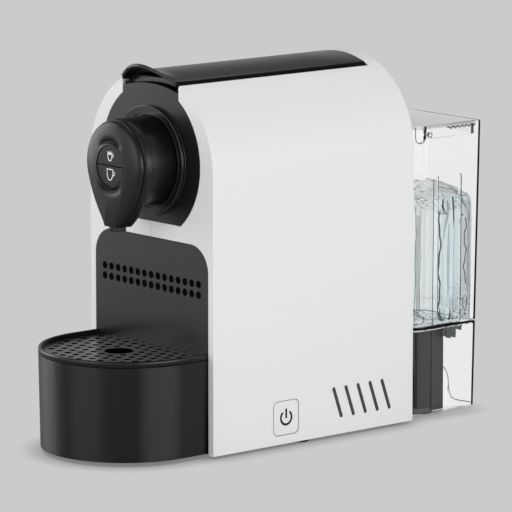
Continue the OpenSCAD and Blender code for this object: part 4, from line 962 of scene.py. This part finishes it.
# water: a calm body with a restless top, its colour painted with streaks of bent light
random.seed(4)
levels = [(56.4, 2.6, 2), (57.0, 2.0, 3), (62, 1.9, 3.5), (80, 1.8, 3.5), (100, 2.0, 4), (120, 1.9, 4.5),
          (130, 2.0, 5), (134.5, 2.2, 6), (136.6, 2.8, 7), (137.4, 3.6, 7)]
sides = [tank_outline(z, g, rr, 10) for z, g, rr in levels]
n = len(sides[0])
v, f = loft(sides, cap=False)
f.append(tuple(range(n))[::-1])
WATER_MIDDLE, WATER_TOP = P(0, 193, 0).y, 138.0


def swell(x, y):
    """Height of the waves on the water."""
    return 2.4 * math.sin(x * 0.11 + y * 0.05) + 1.6 * math.sin(y * 0.24 + 1) + 0.8 * math.sin(x * 0.4 + y * 0.31)


rings = [sides[-1]]
for t in (0.96, 0.9, 0.82, 0.72, 0.6, 0.48, 0.36, 0.24, 0.12):
    ring = []
    for p in sides[-1]:
        q = Vector((p.x * t, WATER_MIDDLE + (p.y - WATER_MIDDLE) * t, 0))
        q.z = P(0, 0, WATER_TOP + swell(q.x * 1000, (q.y - FY) * 1000) * min(1, (1 - t) * 8)).z
        ring.append(q)
    rings.append(ring)
v3, f3 = loft(rings, cap=False)
f3.append(tuple((len(rings) - 1) * n + i for i in range(n)))
v, f = join_parts([(v, f), (v3, f3)])
water = make("water", v, f, water_mat, "tank", angle=60)
water.data.materials.append(surface_mat)
for p in water.data.polygons:
    if p.center.z > FZ + 0.1372 or (p.normal.z > 0.6 and p.center.z > FZ + 0.13):
        p.material_index = 1

# dark upright lines just inside the water, painted shade where the water bends the light, and broken facets in its
# corners and at its surface, the dark and grey ones painted shade too
parts = []
for y, r, z0, z1, sway in ((192.6, 0.62, 60, 128, 1.2), (172.8, 0.2, 60, 134, 0.4), (176.6, 0.16, 66, 134, 0.4),
                           (214.5, 0.42, 80, 122, 1.3), (204.8, 0.14, 60, 132, 0.25)):
    for sx in (-1, 1):
        path = []
        for i in range(41):
            z = z0 + (z1 - z0) * i / 40
            bend = math.sin(i * 0.36 + y) * 0.7 + 0.3 * math.sin(i * 0.9 + 2 * y)
            path.append(P(sx * (50.6 - (184 - z) * SLOPE), y + sway * bend, z))
        parts.append(wire(path, r, 6))
v, f = join_parts(parts)
make("water_dark_lines", v, f, dark_shade_clear, "tank")


def facet(c, size):
    """Small crooked wedge."""
    pts = [c + Vector([random.uniform(-1, 1) * size / 1000 for _ in range(3)]) for _ in range(4)]
    return pts, [(0, 1, 2), (0, 1, 3), (1, 2, 3), (0, 2, 3)]


# groups of facets: place along Y, height, size and number
GROUPS = ((191, 61, 1.5, 22), (195, 60, 1.3, 14), (210, 62, 1.5, 22), (213.0, 70, 1.2, 12), (174, 60, 1.2, 12),
          (181, 59.5, 1.1, 10), (203, 59.5, 1.0, 8), (195, 128, 1.4, 12), (209, 128, 1.5, 12), (214, 122, 1.4, 8))
dark, grey, light = [], [], []
for sx in (-1, 1):
    for y, z, size, count in GROUPS:
        for k in range(count):
            c = P(sx * random.uniform(48.0, 49.4), y + random.gauss(0, 2.0), max(58.2, z + random.gauss(0, 1.9)))
            (dark if k % 4 == 0 else grey if k % 4 == 1 else light).append(facet(c, size))
for name, parts, m in (("dark", dark, dark_shade_clear), ("grey", grey, grey_shade_clear), ("light", light, M["clear"])):
    v, f = join_parts(parts)
    make("water_facets_" + name, v, f, m, "tank")

# flat streaks of bent light just inside the water's sides: (height, place along Y, half width)
STREAKS = {
    "white": (glint, (
        ((136, 211.0, 0.2), (132, 212.4, 0.8), (129, 214.6, 0.8), (126, 216.5, 1.2), (121.5, 217.4, 0.8),
         (119, 217.9, 0.1)),
        ((134, 217.3, 0.1), (130, 217.3, 0.6), (125, 217.5, 0.5), (122, 217.6, 0.1)),
        ((64, 210.2, 0.1), (61, 211.4, 0.8), (58.5, 213.2, 1.2), (57.8, 214.8, 0.2)),
        ((135, 198.6, 0.3), (130, 199.4, 1.3), (121, 197.8, 0.9), (116, 196.4, 0.5), (110, 195.8, 0.1)),
        ((66, 197.6, 0.1), (62, 197.3, 0.7), (58.6, 197.8, 0.9), (57.8, 198.4, 0.2)))),
    "dark": (joint_and_shade_grey, (
        ((136.5, 209.8, 0.1), (133, 211.2, 0.3), (130.5, 213.6, 0.4), (129.2, 215.4, 0.1)),
        ((136.5, 203.2, 0.7), (130, 203.7, 0.6), (124, 204.0, 0.4), (118, 204.1, 0.1)),
        ((135.8, 195.0, 0.5), (131, 194.5, 0.9), (128, 196.4, 0.5), (126.4, 197.6, 0.1)),
        ((67, 193.4, 0.1), (62, 193.0, 0.8), (59, 195.0, 1.1), (57.8, 196.4, 0.2)),
        ((66, 202.0, 0.1), (62, 202.4, 0.6), (58.5, 201.5, 1.0), (57.8, 200.5, 0.2)),
        ((73, 214.6, 0.1), (70, 213.3, 0.3), (66, 213.3, 0.4), (62, 214.9, 0.2)),
        ((73, 214.9, 0.1), (70, 216.3, 0.3), (66, 216.4, 0.4), (62, 215.3, 0.2)))),
    "veil": (veil, (
        ((128, 174.6, 1.4), (100, 174.2, 1.7), (62, 175.0, 1.1)),
        ((124, 217.0, 0.3), (110, 217.1, 0.8), (80, 217.0, 1.0), (66, 217.4, 0.4)),
        ((120, 200.2, 0.4), (100, 200.0, 1.3), (74, 200.3, 0.8)))),
}
for name, (m, streaks) in STREAKS.items():
    parts = []
    for sx in (-1, 1):
        for streak in streaks:
            rings = []
            for z, y, half in streak:
                x0, x1 = (sx * (x - (184 - z) * SLOPE) for x in (50.95, 50.85))
                rings.append([P(x0, y - half, z), P(x0, y + half, z), P(x1, y + half, z), P(x1, y - half, z)])
            parts.append(loft(rings))
    v, f = join_parts(parts)
    make("water_streaks_" + name, v, f, m, "tank")

# ---------------------------------------------------------------- floor, light, camera
BACKGROUND = (0.597, 0.597, 0.597, 1)  # as seen straight on
THROUGH = 1.5                          # how much brighter it is through glass


def ray_level(nt, gloss):
    """Strength of the background for the ray at hand, and whether the ray sees it at all."""
    rays = nt.nodes.new("ShaderNodeLightPath").outputs
    through, glossy = rays["Is Transmission Ray"], rays["Is Glossy Ray"]
    shiny = math_node(nt, "SUBTRACT", glossy, through, clamp=True)
    level = math_node(nt, "MULTIPLY_ADD", through, THROUGH - 1, 1.0)
    level = math_node(nt, "MULTIPLY_ADD", shiny, math_node(nt, "SUBTRACT", gloss, 1.0), level)
    seen = math_node(nt, "ADD", rays["Is Camera Ray"], math_node(nt, "ADD", through, glossy), clamp=True)
    return level, seen


def either(nt, factor, unseen, seen, target):
    """Show one shader where the factor is 0 and the other where it is 1."""
    mix = nt.nodes.new("ShaderNodeMixShader")
    for k, value in enumerate((factor, unseen, seen)):
        nt.links.new(value, mix.inputs[k])
    nt.links.new(mix.outputs[0], target.inputs["Surface"])


# floor: glows like the background, with a soft shadow where the machine stands
bpy.ops.mesh.primitive_plane_add(size=8, location=(0, 0, 0))
floor = bpy.context.object
floor.name = "floor"
floor_mat, nt, _ = new_material("pale_floor")
em = nt.nodes.new("ShaderNodeEmission")
em.inputs["Color"].default_value = BACKGROUND
df = nt.nodes.new("ShaderNodeBsdfDiffuse")
df.inputs["Color"].default_value = (0.72, 0.72, 0.72, 1)
ao = nt.nodes.new("ShaderNodeAmbientOcclusion")
ao.inputs["Distance"].default_value = 0.016
ao.samples = 16
shade = map_range(nt, math_node(nt, "POWER", ao.outputs["AO"], 1.2), 0, 1, 0.32)
level, seen = ray_level(nt, 0.45)
nt.links.new(math_node(nt, "MULTIPLY", shade, level), em.inputs["Strength"])
either(nt, seen, df.outputs[0], em.outputs[0], nt.nodes["Material Output"])
paint(floor, floor_mat)

# world: even light, and the same background, darker overhead in gloss
world = bpy.data.worlds.new("studio")
bpy.context.scene.world = world
world.use_nodes = True
nt = world.node_tree
even = nt.nodes["Background"]
even.inputs["Color"].default_value = (1, 1, 1, 1)
even.inputs["Strength"].default_value = 0.40
backdrop = nt.nodes.new("ShaderNodeBackground")
backdrop.inputs["Color"].default_value = BACKGROUND
sep = nt.nodes.new("ShaderNodeSeparateXYZ")
nt.links.new(nt.nodes.new("ShaderNodeTexCoord").outputs["Generated"], sep.inputs[0])
level, seen = ray_level(nt, map_range(nt, sep.outputs["Z"], 0.12, 0.55, 0.9, 0.25, smoothly=True))
nt.links.new(level, backdrop.inputs["Strength"])
either(nt, seen, even.outputs[0], backdrop.outputs[0], nt.nodes["World Output"])


def softbox(name, loc, target, size, power):
    d = bpy.data.lights.new(name, "AREA")
    d.shape = "RECTANGLE"
    d.size, d.size_y = size
    d.energy = power
    o = bpy.data.objects.new(name, d)
    bpy.context.scene.collection.objects.link(o)
    o.location = loc
    o.visible_transmission = False
    o.rotation_euler = (Vector(target) - Vector(loc)).to_track_quat("-Z", "Y").to_euler()


def studio(name, azimuth, distance, width, low, high, level):
    """Upright soft light at an azimuth from the front, with an even brightness."""
    a = math.radians(azimuth)
    x, y, z = math.sin(a) * distance, -math.cos(a) * distance, (low + high) / 2
    softbox(name, (x, y, z), (0, 0, z), (width, high - low), level * math.pi * width * (high - low))


studio("front", -3, 1.3, 0.98, 0.02, 1.0, 1.7)
studio("right", 94, 1.3, 1.25, 0.0, 0.56, 3.7)
studio("front_right", 38, 1.4, 0.9, 0.02, 0.8, 0.35)
studio("left", -67, 1.2, 0.78, 0.02, 0.9, 2.8)
softbox("top", (-0.25, 0.6, 1.5), (0, 0, 0.11), (0.8, 0.8), 5)

# camera: where it stands, and its bearing and dip in degrees
CAMERA_PLACE = (1953.863, -1581.722, 553.960)
CAMERA_BEARING, CAMERA_DIP, CAMERA_LENS = 49.552, 9.904, 294.68
cam_data = bpy.data.cameras.new("camera")
cam_data.sensor_width = 36
cam_data.lens = CAMERA_LENS
cam_data.clip_end = 50
cam = bpy.data.objects.new("camera", cam_data)
bpy.context.scene.collection.objects.link(cam)
az, el = math.radians(CAMERA_BEARING), math.radians(CAMERA_DIP)
look = Vector((-math.sin(az) * math.cos(el), math.cos(az) * math.cos(el), -math.sin(el)))
cam.location = P(*CAMERA_PLACE)
cam.rotation_euler = look.to_track_quat("-Z", "Y").to_euler()
bpy.context.scene.camera = cam
bpy.context.scene.view_settings.view_transform = "Standard"
